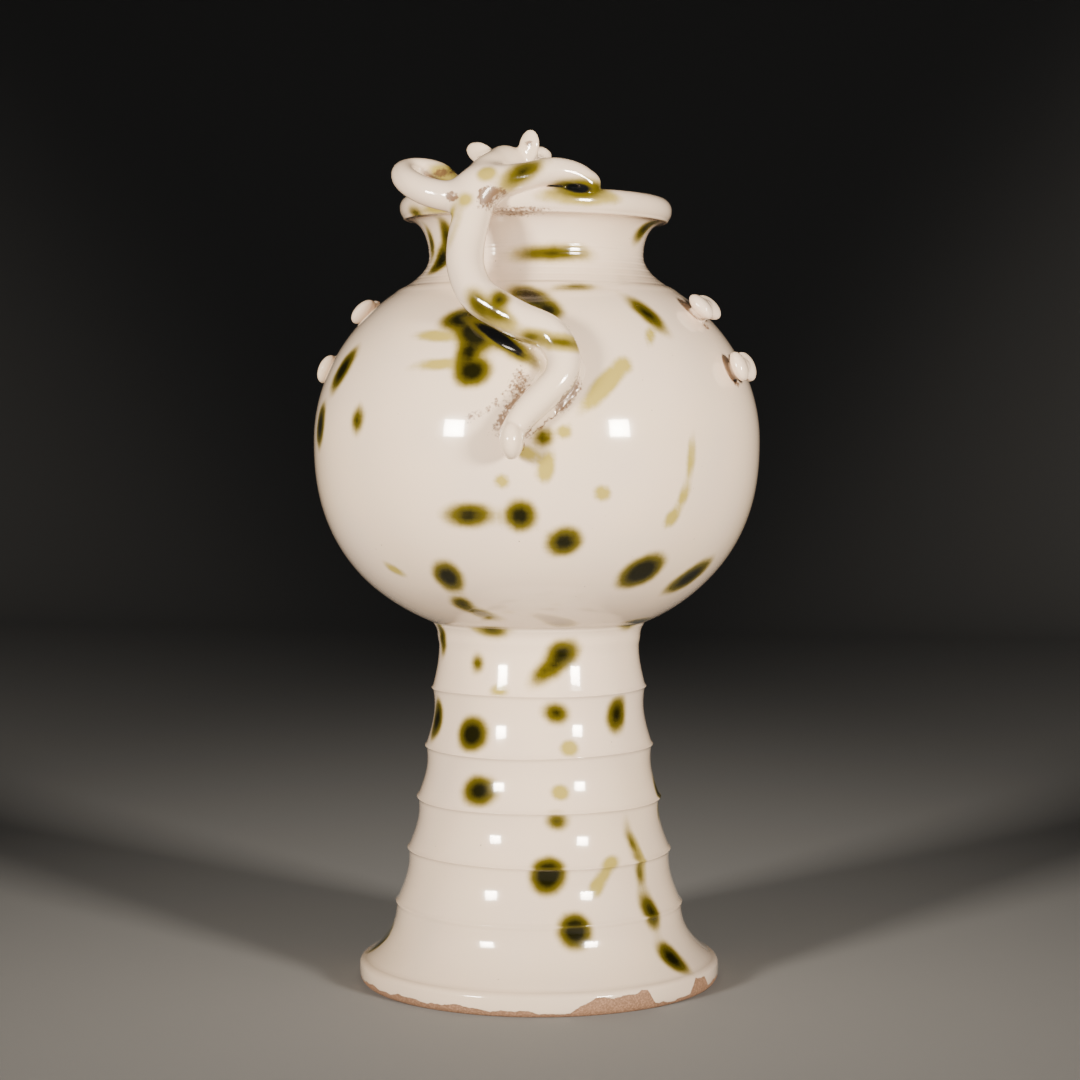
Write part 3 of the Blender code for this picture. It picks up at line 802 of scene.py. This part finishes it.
def skin(clay, rounds):
    """The clay's surface, without loose crumbs and smoothed."""
    points, quads = largest_part(*clay.surface())
    return relaxed(points, quads, rounds), quads


DRAGON_CLAY, DRAGON_ALONE = fuse_dragon()
DRAGON_POINTS, DRAGON_QUADS = skin(DRAGON_CLAY, RELAX_ROUNDS)
dragon = new_piece("dragon", hand_thrown(DRAGON_POINTS) + AXIS, DRAGON_QUADS)

# %% [markdown]
# ## The studs
#
# Each stud is two balls of clay pressed flat side by side, on a stem. They are fused in the same way, each on
# its own small grid, and joined in one object.

# %% Studs
STUD_LENGTH = 0.0126
STUD_THICKNESS = 0.0062
STUD_LOBE_WIDTH = 0.0097
STUD_LOBE_SPREAD = 0.0076
STUD_LOBE_LEAN = 12
STUD_STANDOFF = 0.0047
STUD_STEM_WIDTH = 0.0078
STUD_RISES = (0.368, 0.665)
STUD_ANGLES = (75, -95)  # degrees from the -Y side: the right pair and the left pair
STUD_PITCH = 0.00045
STUD_MARGIN = 0.013
STEM_START = -0.004  # from the globe's surface outwards
STEM_END = STUD_STANDOFF - 0.001
LOBE_BLEND = 0.0006
STEM_BLEND = 0.0008
STUD_JOINT_BLEND = 0.0012
STUD_ROOT_REACH = 0.0024
STUD_RELAX_ROUNDS = 4
SEAM_STEP = 0.0007


def stud_frame(degrees, rise):
    """The point on the globe where a stud stands, and its axes: up the globe, across, and straight out."""
    height = rise * BELLY_UPPER_DEPTH
    pair = np.array([height, height + SEAM_STEP])
    radius, above = oval_radius(pair, BELLY_RADIUS, BELLY_UPPER_DEPTH, UPPER_POWERS)
    outward = around(degrees, 1.0, 0.0)
    seam = outward * (above - radius) + np.array([0, 0, SEAM_STEP])
    normal = np.cross(np.cross([0, 0, 1], outward), seam)
    return outward * radius + (0, 0, BELLY_MIDDLE + height), turn_matrix(seam, normal)


def press_stud(degrees, rise):
    foot, way = stud_frame(degrees, rise)
    _, across, out = way.T
    middle = foot + out * STUD_STANDOFF
    clay = Clay(middle - STUD_MARGIN, middle + STUD_MARGIN, STUD_PITCH)
    stem = np.array([foot + out * STEM_START, foot + out * STEM_END])
    clay.depth = clay.roll(stem, np.full(2, STUD_STEM_WIDTH / 2))
    lobes = np.full_like(clay.depth, FAR)
    for side in (-1, 1):
        place = middle + across * side * STUD_LOBE_SPREAD / 2
        half_sizes = np.array((STUD_LENGTH, STUD_LOBE_WIDTH, STUD_THICKNESS)) / 2
        lobe = clay.lump(place, tilted(way, lean=STUD_LOBE_LEAN * side), half_sizes)
        lobes = soft_min(lobes, lobe, LOBE_BLEND)
    clay.add(lobes, STEM_BLEND)
    meet_pot(clay, clay.depth.copy(), wall_distance(clay), STUD_JOINT_BLEND, STUD_ROOT_REACH)
    return skin(clay, STUD_RELAX_ROUNDS)


def make_studs():
    points, quads, start = [], [], 0
    for degrees in STUD_ANGLES:
        for rise in STUD_RISES:
            some, faces = press_stud(degrees, rise)
            points.append(some)
            quads.append(faces + start)
            start += len(some)
    return np.vstack(points), np.vstack(quads)


STUD_POINTS, STUD_QUADS = make_studs()
studs = new_piece("studs", STUD_POINTS + AXIS, STUD_QUADS)

# %% [markdown]
# ## What each piece stands for
#
# All three pieces ride on the one body and stand for the one solid.

# %% Place in the frame
for piece in (jar, dragon, studs):
    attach(piece, "root")
    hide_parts("dragon_handled_jar")

# %% [markdown]
# ## Where the splashes fell
#
# Copper green was flicked on with a brush before the firing, and in the fire each drop melted into the white
# and spread: a dark middle, an olive rim and a yellow halo. An image could carry them, but a list of where
# each drop fell and how big it is says more and stays sharp. Every point of the pot gets one number, how deep
# it lies in the drops in millimetres, and the material turns that number into colour.

# %% Splashes
# Each drop: degrees round the jar, height in mm, half the length and half the width in mm, and the turn of
# the length from the level in degrees. Many long ones run down the wall, as wet glaze does.
GLOBE_SPLASHES = [
    (-7, 194, 8.3, 4.0, 2), (6, 194, 5.5, 5.2, 80), (17, 184, 6.0, 5.2, 20), (42, 171.5, 9.4, 6.8, 34),
    (65, 168, 10.5, 5.6, 38), (-17, 169.6, 7.0, 5.6, 80), (-17.4, 158.6, 3.9, 3.4, 60),
    (-12.5, 154.5, 6.0, 2.6, -38), (-40, 229.8, 4.0, 2.8, 84), (47.3, 271, 8.6, 3.9, -66),
    (-6.6, 248.4, 6.6, 5.8, 10), (-8.4, 255.5, 6.5, 4.6, 80), (-13.5, 268.4, 7.6, 5.2, 14),
    (-8.0, 262.5, 9.0, 6.0, -44), (8.0, 277, 9.0, 5.0, -38), (13.5, 272, 5.0, 4.2, -40),
    (-54.5, 249.5, 9.0, 5.4, 62), (-62, 227.7, 7.6, 5.2, 84), (11.7, 223.4, 3.0, 2.5, 20),
    (-0.2, 260.8, 15.0, 3.4, -37), (66, 148.8, 7.4, 3.6, 0),
]
NECK_SPLASHES = [
    (17.8, 294.9, 12.4, 2.5, 1), (79.5, 306.4, 6.6, 3.4, 40), (-43, 303, 7.0, 3.2, 76),
    (-49, 293.5, 7.2, 5.0, 55), (-62.5, 301, 5.0, 2.4, 78), (24.7, 281.1, 4.9, 1.6, 4),
    (-51.7, 311.9, 3.4, 1.8, -5), (28.0, 317.8, 9.0, 2.2, 0),
]
FOOT_SPLASHES = [
    (24.5, 137.6, 5.6, 4.4, 10), (20.5, 133.8, 7.5, 3.6, 44), (13.5, 130.6, 4.4, 1.8, 48),
    (-25.5, 133.1, 2.6, 2.2, 90), (-60, 141.3, 5.6, 3.4, 80), (-14, 146.6, 5.0, 2.4, 0),
    (-26.2, 105, 7.0, 6.2, 0), (-62, 108, 7.2, 5.6, 80), (56.8, 112.2, 6.6, 4.6, 74),
    (20.1, 114.2, 4.2, 3.4, -20), (-19.4, 83, 7.2, 5.2, 3), (19.3, 72.3, 3.1, 2.6, 0),
    (14.7, 51.7, 7.2, 6.4, 80), (24.7, 30.3, 6.8, 6.0, -70), (57.5, 61, 4.6, 1.4, -76),
    (59.2, 50, 4.6, 1.6, -80), (61, 34, 6.8, 4.2, -72), (65.5, 14.8, 7.6, 5.2, -62),
    (93.5, 75, 7.0, 4.0, 86), (-78, 16, 7.4, 4.6, 58),
]
PALE_DROPS = [
    (26, 202.5, 2.5, 2.3, 0), (1.7, 207, 1.9, 1.7, 0), (11.9, 210.5, 2.8, 2.0, 80),
    (12.5, 214, 3.2, 1.6, 70), (16.4, 225.4, 2.0, 1.8, 0), (46.3, 192.4, 3.2, 2.2, 56),
    (48.8, 200.4, 2.6, 1.5, 74), (50.4, 214.6, 5.4, 1.5, 86), (-36.5, 171.4, 3.2, 1.6, -30),
    (27, 243, 10.4, 3.0, 46), (33, 250.5, 2.2, 2.0, 0), (-15.5, 251, 7.8, 1.6, 2),
    (-19.0, 262, 7.4, 1.9, -4), (44, 262, 3.0, 1.4, 60), (7.7, 217.4, 3.0, 1.8, -20),
    (26.4, 100.4, 2.6, 2.3, 0), (21.1, 83, 2.6, 2.3, 0), (35.8, 46.1, 3.4, 2.2, 60),
    (43.4, 55.1, 2.8, 1.6, 20), (40.0, 50.5, 2.4, 1.3, 60), (-10.1, 123, 2.4, 1.5, 0),
    (29, 317.0, 14.0, 3.0, 0), (-33, 313.5, 8.0, 2.2, 8), (-17, 146.5, 5.0, 1.4, 0),
    (60, 55.5, 6.5, 1.8, -80),
]

MELT = 1.08  # how much wider each drop ran in the fire than its measured dark part
RUN_TOGETHER = 3.0  # mm over which two drops that touch run into one
FAR_AWAY = -99.0
MARGIN = 12  # mm round a splash in which points are still measured


def wall_radius(height):
    """The outline's outside radius at a height."""
    return np.interp(height, np.maximum.accumulate(OUTSIDE[::-1, 1]), OUTSIDE[::-1, 0])


def splash_depth(points, splashes, reach):
    """How deep points lie in the splashes, in mm: (1 - |offset / half sizes|) * the lesser half size.

    The offset is taken level, up the wall and out of it, and the third half size is reach. A splash on the
    pot sits on the outline, and one on the dragon at the radius given as its sixth number.
    """
    depth = np.full(len(points), FAR_AWAY)
    for degrees, height, long, short, turn, *given in splashes:
        z = height / 1000
        r = given[0] / 1000 if given else wall_radius(z)
        slope = 0 if given else (wall_radius(z + 0.002) - wall_radius(z - 0.002)) / 0.004
        place, outward = around(degrees, r, z), around(degrees, 1.0, 0.0)
        level = np.array([-outward[1], outward[0], 0.0])
        out = (outward - (0, 0, slope)) / math.hypot(1, slope)
        up = np.cross(out, level)
        c, s = math.cos(math.radians(turn)), math.sin(math.radians(turn))
        axes = np.stack([level * c + up * s, up * c - level * s, out]) * 1000
        long, short = long * MELT, short * MELT
        near = np.linalg.norm(points - place, axis=1) * 1000 < 2 * long + MARGIN
        offset = (points[near] - place) @ axes.T / (long, short, reach)
        inside = (1 - np.linalg.norm(offset, axis=1)) * short
        depth[near] = -soft_min(-depth[near], -inside, RUN_TOGETHER)
    return depth


# %% Splashes on the far side
SEED = 11
FAR_SIDE = (102, 276)


def far_splashes(count, heights, longest, seed):
    """The same kinds of drops scattered over the side that faces away, by a seeded draw."""
    draw = np.random.default_rng(seed)
    degrees = draw.uniform(*FAR_SIDE, count)
    height = draw.uniform(*heights, count)
    long = draw.uniform(0.35, 1.0, count) * longest
    short = long * draw.uniform(0.5, 0.95, count)
    turn = draw.normal(80, 25, count)
    return np.stack([degrees, height, long, short, turn], axis=1).tolist()


FAR_DEEP = far_splashes(13, (160, 276), 8.5, SEED) + far_splashes(10, (14, 140), 7.0, SEED + 1)
FAR_PALE = far_splashes(12, (160, 270), 4.5, SEED + 2) + far_splashes(8, (20, 140), 3.5, SEED + 3)
FAR_DEEP += [(150, 295, 11.0, 2.6, 2), (236, 302, 6.0, 2.4, 60)]
DEEP_DROPS = GLOBE_SPLASHES + NECK_SPLASHES + FOOT_SPLASHES + FAR_DEEP
print("Splashes:", len(DEEP_DROPS), "pale:", len(PALE_DROPS + FAR_PALE))

# %% [markdown]
# ## Splashes on the dragon
#
# A few drops hit the dragon itself, and glaze pooled dark and thick where it ran against clay: under the
# coil and round the paw on the rim. Brown stain sits in the dry joints, where the glaze drew back. The same
# brown is painted as shade under the studs and under the lip beside the body.

# %% Dragon's splashes, pools, stains and painted shade
# The sixth number is the distance from the jar's axis in mm.
DRAGON_SPLASHES = [
    (0.5, 275, 3.6, 3.2, 60, 86), (-4.5, 273, 5.4, 3.2, -50, 84), (-0.5, 270.2, 6.0, 2.2, -30, 87),
    (5.0, 325.2, 8.6, 3.2, 35, 59.5), (30.0, 319.4, 8.0, 3.0, -4, 53.5),
    (8.6, 261.0, 3.0, 1.7, 0, 88.5), (15.5, 258.8, 6.4, 1.6, -8, 92),
]
DRAGON_PALE = [
    (9.5, 260.8, 3.4, 2.6, 0, 89), (16.5, 258.6, 7.4, 2.6, -6, 92), (-0.5, 269.2, 8.0, 3.0, -30, 87),
    (-7.4, 324.2, 2.6, 2.2, 0, 64), (-13.4, 313.9, 2.2, 1.8, 0, 69), (1.0, 321.8, 4.0, 2.4, 40, 61),
    (-33.0, 326.0, 6.0, 2.6, -20, 52), (-18.5, 308, 3.0, 1.4, 70, 67), (-15.5, 300, 5.0, 1.2, 80, 65),
]
POOLS = [
    (-0.2, 260.6, 13.5, 2.3, -37), (27.0, 319.4, 5.6, 2.0, -4, 53.5),
]
STAINS_AND_SHADE = [
    (-7.0, 315.5, 3.6, 3.0, 50, 65), (-4.0, 317.0, 3.4, 1.8, 0, 62), (-18.5, 315.5, 2.0, 2.8, 80, 68),
    # The two thin level lines at 54 mm from the axis are painted shade under the lip's lower edge, beside the
    # body.
    (-34.0, 326.5, 4.0, 1.8, -10, 51.5), (1.5, 309.5, 7.0, 0.8, 0, 54), (4.0, 311.5, 7.0, 0.5, 0, 54),
    (6.5, 246, 5.5, 2.6, 50, 93), (5.0, 238, 8.0, 1.4, 52, 92), (2.0, 230, 6.0, 1.4, 50, 92),
    (16.5, 238, 4.0, 1.8, 50, 92), (5.5, 338.0, 1.6, 1.2, 0, 42), (-25.0, 333.0, 1.8, 1.4, 0, 40),
    (-6.0, 231.5, 2.6, 1.2, 40, 91), (5.5, 250, 5.0, 1.6, 60, 91), (-0.5, 236, 6.0, 1.0, 48, 92),
    (19.0, 244, 5.0, 0.8, 80, 88), (17.0, 236.5, 6.0, 0.9, 55, 90), (8.0, 226.0, 5.0, 1.0, 60, 91),
    # The last three lie under the studs: brown stain and painted shade in the gap where each stud stands off
    # the wall.
    (75, 244.5, 3.4, 1.8, 0, 89), (75, 267.0, 3.0, 1.4, 0, 76), (-95, 244.5, 3.4, 1.8, 0, 89),
]
STAIN_LINE = 0.6  # mm, half the width of the line where the apron stops
STAIN_NEAR = 0.006  # metres from the dragon within which the line is drawn
STAIN_TOP = 0.252
STAIN_FADE = 0.01
CLEAR = 9.0  # mm, well clear of any edge


def joint_stain(points):
    """How far a point lies inside the thin line where the apron of glaze stops beside the tail, in mm."""
    from_dragon = DRAGON_CLAY.read(points, DRAGON_ALONE)
    line = np.abs(from_dragon - apron_reach(*points.T)) * 1000
    line = STAIN_LINE - line - 3 * smooth_step(points[:, 2], STAIN_TOP - STAIN_FADE, STAIN_TOP)
    return np.where(from_dragon < STAIN_NEAR, line, -CLEAR)


# %% Bare clay at the foot
# Degrees round the jar and the height in mm at which the glaze stops. It stops high on two stretches of the
# foot's edge, where it flaked or was wiped, and nearly reaches the ground between them.
GLAZE_EDGE = np.array([
    (-180, 3.0), (-75, 2.4), (-45, 2.9), (-12, 3.0), (10, 2.0), (20, 1.6), (28, 6.9), (46.6, 7.5),
    (47.6, 2.0), (63, 1.8), (65.5, 2.2), (67, 7.0), (74, 7.6), (77, 2.8), (110, 3.0), (180, 3.0),
])
INSIDE_RINGS = len(jar_inside())
HOLLOW_RINGS = len(OUTLINE) - len(foot_inside())


def bare_clay(points):
    """How far below the edge of the glaze points lie, in mm: its height by the angle, with a slow waver."""
    angle = np.degrees(np.arctan2(points[:, 0], -points[:, 1]))
    edge = np.interp(angle, *GLAZE_EDGE.T) + 0.45 * np.sin(angle * 0.31) + 0.3 * np.sin(angle * 0.83 + 2)
    return edge - points[:, 2] * 1000


def paint(piece, name, values):
    """Keeps one number for each point of a piece's mesh, which the material reads by its name."""
    layer = piece.data.attributes.new(name, "FLOAT", "POINT")
    layer.data.foreach_set("value", np.asarray(values, np.float32))


# How far out of the wall each kind still colours, in mm.
WALL_REACH = 4.0
DRAGON_REACH = 6.0
POOL_REACH = 5.0
STAIN_AND_SHADE_REACH = 7.0


def paint_glaze(piece, points, bare):
    """Gives a piece all the numbers that the glaze needs, from its points in the jar's own frame."""
    deep = splash_depth(points, DEEP_DROPS, WALL_REACH)
    deep = np.maximum(deep, splash_depth(points, DRAGON_SPLASHES, DRAGON_REACH))
    pale = splash_depth(points, PALE_DROPS + FAR_PALE, WALL_REACH)
    pale = np.maximum(pale, splash_depth(points, DRAGON_PALE, DRAGON_REACH))
    ribs = RIB_SHARES * FOOT_HEIGHT
    rib = np.exp(-(((points[:, 2:] - ribs) / RIB_WIDE) ** 2)).sum(axis=1)
    paint(piece, "deep", deep)
    paint(piece, "pale", pale)
    paint(piece, "pool", splash_depth(points, POOLS, POOL_REACH))
    # This number holds real stain and the painted shade under the studs and the lip.
    paint(piece, "stain_and_shade", np.maximum(splash_depth(points, STAINS_AND_SHADE, STAIN_AND_SHADE_REACH), joint_stain(points)))
    paint(piece, "bare", bare)
    paint(piece, "rib", rib)
    print(piece.name, "in splashes:", int((deep > 0).sum()), "points")


# The inside is glazed all over, and the foot's hollow is all bare.
ring = np.concatenate([np.repeat(np.arange(1, len(OUTLINE) - 1), STEPS_AROUND), [0, len(OUTLINE)]])
POT_BARE = np.where(ring < INSIDE_RINGS, -CLEAR, np.where(ring >= HOLLOW_RINGS, CLEAR, bare_clay(POT)))
paint_glaze(jar, POT, POT_BARE)
paint_glaze(dragon, hand_thrown(DRAGON_POINTS), np.full(len(DRAGON_POINTS), -CLEAR))
paint_glaze(studs, STUD_POINTS, np.full(len(STUD_POINTS), -CLEAR))

# %% [markdown]
# ## Nodes from expressions
#
# A material's maths reads best as maths. A small class wraps a socket, and its operators add Math nodes, so
# that `1 - mask` or `a * b` builds what it says. Every other node comes from one method.

# %% Shader maths
class Wire:
    """One output socket of a mixer. Arithmetic on it adds Math nodes."""

    def __init__(self, mixer, socket):
        self.mixer = mixer
        self.socket = socket

    def maths(self, operation, *values):
        return self.mixer.node("Math", {"operation": operation}, dict(enumerate(values)))

    def __add__(self, other):
        return self.maths("ADD", self, other)

    def __sub__(self, other):
        return self.maths("SUBTRACT", self, other)

    def __rsub__(self, other):
        return self.maths("SUBTRACT", other, self)

    def __mul__(self, other):
        return self.maths("MULTIPLY", self, other)

    __radd__ = __add__
    __rmul__ = __mul__

    def least(self, other):
        return self.maths("MINIMUM", self, other)

    def rise(self, low, high):
        """Runs smoothly from 0 where the value is low to 1 where it is high."""
        limits = {"Value": self, "From Min": low, "From Max": high}
        return self.mixer.node("MapRange", {"interpolation_type": "SMOOTHSTEP"}, limits)


class Mixer:
    """One material and the nodes that are added to it."""

    def __init__(self, name):
        self.material = bpy.data.materials.new(name)
        self.material.use_nodes = True
        self.tree = self.material.node_tree
        self.shader = self.tree.nodes["Principled BSDF"]

    def feed(self, socket, value):
        if isinstance(value, Wire):
            self.tree.links.new(value.socket, socket)
        else:
            socket.default_value = value

    def node(self, kind, settings, sockets, output=0):
        """A node of a type, with its settings and then the values or links of its sockets."""
        made = self.tree.nodes.new("ShaderNode" + kind)
        for name, value in settings.items():
            setattr(made, name, value)
        for name, value in sockets.items():
            self.feed(made.inputs[name], value)
        return Wire(self, made.outputs[output])

    def painted(self, name):
        return self.node("Attribute", {"attribute_name": name}, {}, "Fac")

    def stretched(self, scale):
        """Object coordinates times one scale for each axis."""
        place = self.node("TexCoord", {}, {}, "Object")
        return self.node("VectorMath", {"operation": "MULTIPLY"}, {0: place, 1: scale})

    def noise(self, scale, detail=2.0, place=None):
        """Noise between -1 and 1, about so many waves to the metre."""
        sockets = {"Scale": scale, "Detail": detail, "Vector": place or self.stretched((1, 1, 1))}
        return self.node("TexNoise", {}, sockets) * 2 - 1

    def blend(self, factor, a, b):
        """Colour a where the factor is 0 and colour b where it is 1."""
        return self.node("Mix", {"data_type": "RGBA"}, {0: factor, 6: a, 7: b}, 2)

    def finish(self, values):
        for name, value in values.items():
            self.feed(self.shader.inputs[name], value)
        return self.material


print("Shader maths is ready")

# %% [markdown]
# ## The glaze
#
# The white is thin and warm over a light clay, cooler where it lies thick, and glossy all over. On it come,
# from the bottom up: pale yellow drops, the halo, olive and dark middle of each deep splash, the blue-black
# pools, the brown stain with the painted shade under the studs and the lip, pinholes, and last the bare clay.
# A fine noise roughens every edge. Colours and heights share the same masks, so that a pinhole is dark and
# dented in the same place.

# %% Glaze
WHITE = (0.80, 0.635, 0.475, 1)
COOL_WHITE = (0.71, 0.575, 0.475, 1)
WARM_WHITE = (0.82, 0.65, 0.42, 1)
PALE_YELLOW = (0.38, 0.30, 0.05, 1)
HALO = (0.40, 0.31, 0.10, 1)
OLIVE = (0.100, 0.078, 0.005, 1)
DARK_GREEN = (0.0075, 0.0068, 0.0009, 1)
BLUE_BLACK = (0.0042, 0.0045, 0.0050, 1)
# Brown of the stains, also used as painted shade under the studs and the lip.
STAIN_AND_SHADE_BROWN = (0.135, 0.068, 0.030, 1)
BUFF = (0.37, 0.215, 0.135, 1)
DARK_BUFF = (0.22, 0.125, 0.075, 1)
PINHOLE = (0.13, 0.09, 0.06, 1)

# Depths in mm at which each colour sets in and at which it is full.
PALE_EDGE = (-2.0, 0.5)
HALO_EDGE = (-2.9, 0.2)
OLIVE_EDGE = (-1.6, 1.3)
DARK_EDGE = (0.2, 4.0)
POOL_RIM = (-1.8, 0.2)
POOL_EDGE = (-0.3, 0.7)
STAIN_AND_SHADE_EDGE = (-0.2, 0.7)
BARE_EDGE = (-0.12, 0.12)


def mix_glaze():
    mixer = Mixer("splashed white glaze")
    ragged_edge = mixer.noise(160, 3) * 0.8 + mixer.noise(1100) * 0.12
    rib = mixer.painted("rib")
    deep = mixer.painted("deep") + ragged_edge - rib * 0.9
    pale = mixer.painted("pale") + ragged_edge
    pool = mixer.painted("pool") + ragged_edge * 0.5
    halo_mask = deep.rise(*HALO_EDGE)
    dark_mask = deep.rise(*DARK_EDGE) * (1 - rib * 0.5)
    pool_mask = pool.rise(*POOL_EDGE)
    # Real stain, and painted shade under the studs and the lip, share this mask.
    stain_and_shade = mixer.painted("stain_and_shade") + mixer.noise(900, 3) * 1.3
    stain_and_shade_mask = stain_and_shade.rise(*STAIN_AND_SHADE_EDGE) * mixer.noise(420).rise(-0.7, 0.0)
    bare = mixer.painted("bare") + mixer.noise(420, 3) * 0.7
    bare_mask = bare.rise(*BARE_EDGE)

    cells = {"Vector": mixer.stretched((1, 1, 1)), "Scale": 210.0}
    from_hole = mixer.node("TexVoronoi", {}, cells, "Distance")
    holes = (1 - from_hole.rise(0.03, 0.075)) * mixer.noise(60).rise(0.05, 0.35)
    grit = mixer.noise(1300, 2)
    bands = mixer.noise(1.0, 2, mixer.stretched((9, 9, 260)))
    layers = (
        (mixer.noise(22).rise(-0.5, 0.6) * 0.75, COOL_WHITE),
        (mixer.noise(14, 2).rise(0.0, 0.7) * 0.5, WARM_WHITE),
        (bands.rise(0.1, 0.8) * 0.18, COOL_WHITE),
        (pale.rise(*PALE_EDGE) * 0.95, PALE_YELLOW),
        (halo_mask * 0.85, HALO),
        (deep.rise(*OLIVE_EDGE), OLIVE),
        (dark_mask, DARK_GREEN),
        (pool.rise(*POOL_RIM) * 0.9, OLIVE),
        (pool_mask, BLUE_BLACK),
        # Brown stain and painted shade under the studs and the lip.
        (stain_and_shade_mask * 0.92, STAIN_AND_SHADE_BROWN),
        (holes * 0.75, PINHOLE),
        (bare_mask, mixer.blend(grit.rise(-0.3, 0.5), DARK_BUFF, BUFF)),
    )
    colour = WHITE
    for mask, layer in layers:
        colour = mixer.blend(mask, colour, layer)

    swell = mixer.noise(65) * 0.045 + mixer.noise(240) * 0.006 + bands * 0.012
    thick = halo_mask * 0.02 + pool_mask * 0.10
    dents = (grit * 0.06 - 0.12) * bare_mask - holes * 0.06
    bump = {"Strength": 1.0, "Distance": 0.001, "Height": swell + thick + dents}
    return mixer.finish({
        "Base Color": colour,
        "Roughness": (bare_mask * 0.5 + stain_and_shade_mask * 0.25 + 0.14).least(0.8),
        "Coat Weight": 1 - (bare_mask + stain_and_shade_mask * 0.6).least(1.0),
        "Coat Roughness": 0.03,
        "Coat IOR": 1.42,
        "Specular IOR Level": 0.25,
        "Normal": mixer.node("Bump", {}, bump),
    })


GLAZE = mix_glaze()
for piece in (jar, dragon, studs):
    piece.data.materials.append(GLAZE)
print("Nodes in the glaze:", len(GLAZE.node_tree.nodes))

# %% [markdown]
# ## Studio
#
# A plain floor of pale grey paper that sweeps up behind the jar, two square softboxes in front of it, one to
# each side, which make the two bright windows on the globe, a wide faint one overhead, and a little even
# light from all round.

# %% Floor
FLOOR_SIDE = 5.0
FLOOR_FRONT = -4.0
CURVE_START = 1.6
CURVE_RADIUS = 0.9
BACKDROP_TOP = 5.0
PAPER_GREY = 0.22


def sweep():
    """A floor that turns up into a wall: a flat run, a quarter of a circle and a straight rise."""
    turn = np.radians(np.linspace(0, 90, 25))
    along = CURVE_START + CURVE_RADIUS * np.sin(turn)
    curve = rows_of(along, CURVE_RADIUS - CURVE_RADIUS * np.cos(turn))
    rows = np.vstack([[(FLOOR_FRONT, 0.0)], curve, [(along[-1], BACKDROP_TOP)]])
    left, right = (np.column_stack([np.full(len(rows), x), rows]) for x in (-FLOOR_SIDE, FLOOR_SIDE))
    here = np.arange(len(rows) - 1)
    quads = np.stack([here, here + len(rows), here + len(rows) + 1, here + 1], axis=1)
    return np.vstack([left, right]), quads


floor = new_piece("floor", *sweep())
PAPER = Mixer("pale paper")
paper_look = {"Base Color": (PAPER_GREY, PAPER_GREY, PAPER_GREY, 1), "Roughness": 0.85}
floor.data.materials.append(PAPER.finish(paper_look))

# %% Lights
SOFTBOX_SIDES = (-31, 51)
SOFTBOX_DISTANCE = 1.5
SOFTBOX_HEIGHT = 0.445
SOFTBOX_SIZE = 0.27
SOFTBOX_POWER = 2.8
SOFTBOX_SPREAD = math.radians(40)
CEILING_SIDE = 10
CEILING_DISTANCE = 0.3
CEILING_HEIGHT = 2.2
CEILING_SIZE = 2.0
CEILING_POWER = 0.9
LAMP_COLOUR = (1.0, 0.91, 0.79)
SKY_STRENGTH = 0.04


def softbox(name, place, target, size, power, spread):
    lamp = bpy.data.lights.new(name, "AREA")
    lamp.size = size
    lamp.energy = power
    lamp.spread = spread
    lamp.color = LAMP_COLOUR
    light = bpy.data.objects.new(name, lamp)
    way = Vector(place) - Vector(target)
    light.location = place
    light.rotation_euler = way.to_track_quat("Z", "Y").to_euler()
    bpy.context.scene.collection.objects.link(light)


def light_studio():
    target = np.array([0, 0, BELLY_MIDDLE]) + AXIS
    for side in SOFTBOX_SIDES:
        place = around(side, SOFTBOX_DISTANCE, SOFTBOX_HEIGHT) + AXIS
        softbox("softbox", place, target, SOFTBOX_SIZE, SOFTBOX_POWER, SOFTBOX_SPREAD)
    place = around(CEILING_SIDE, CEILING_DISTANCE, CEILING_HEIGHT) + AXIS
    softbox("ceiling", place, target, CEILING_SIZE, CEILING_POWER, math.pi)
    world = bpy.data.worlds.new("studio")
    world.use_nodes = True
    world.node_tree.nodes["Background"].inputs["Color"].default_value = (1, 1, 1, 1)
    world.node_tree.nodes["Background"].inputs["Strength"].default_value = SKY_STRENGTH
    bpy.context.scene.world = world


light_studio()
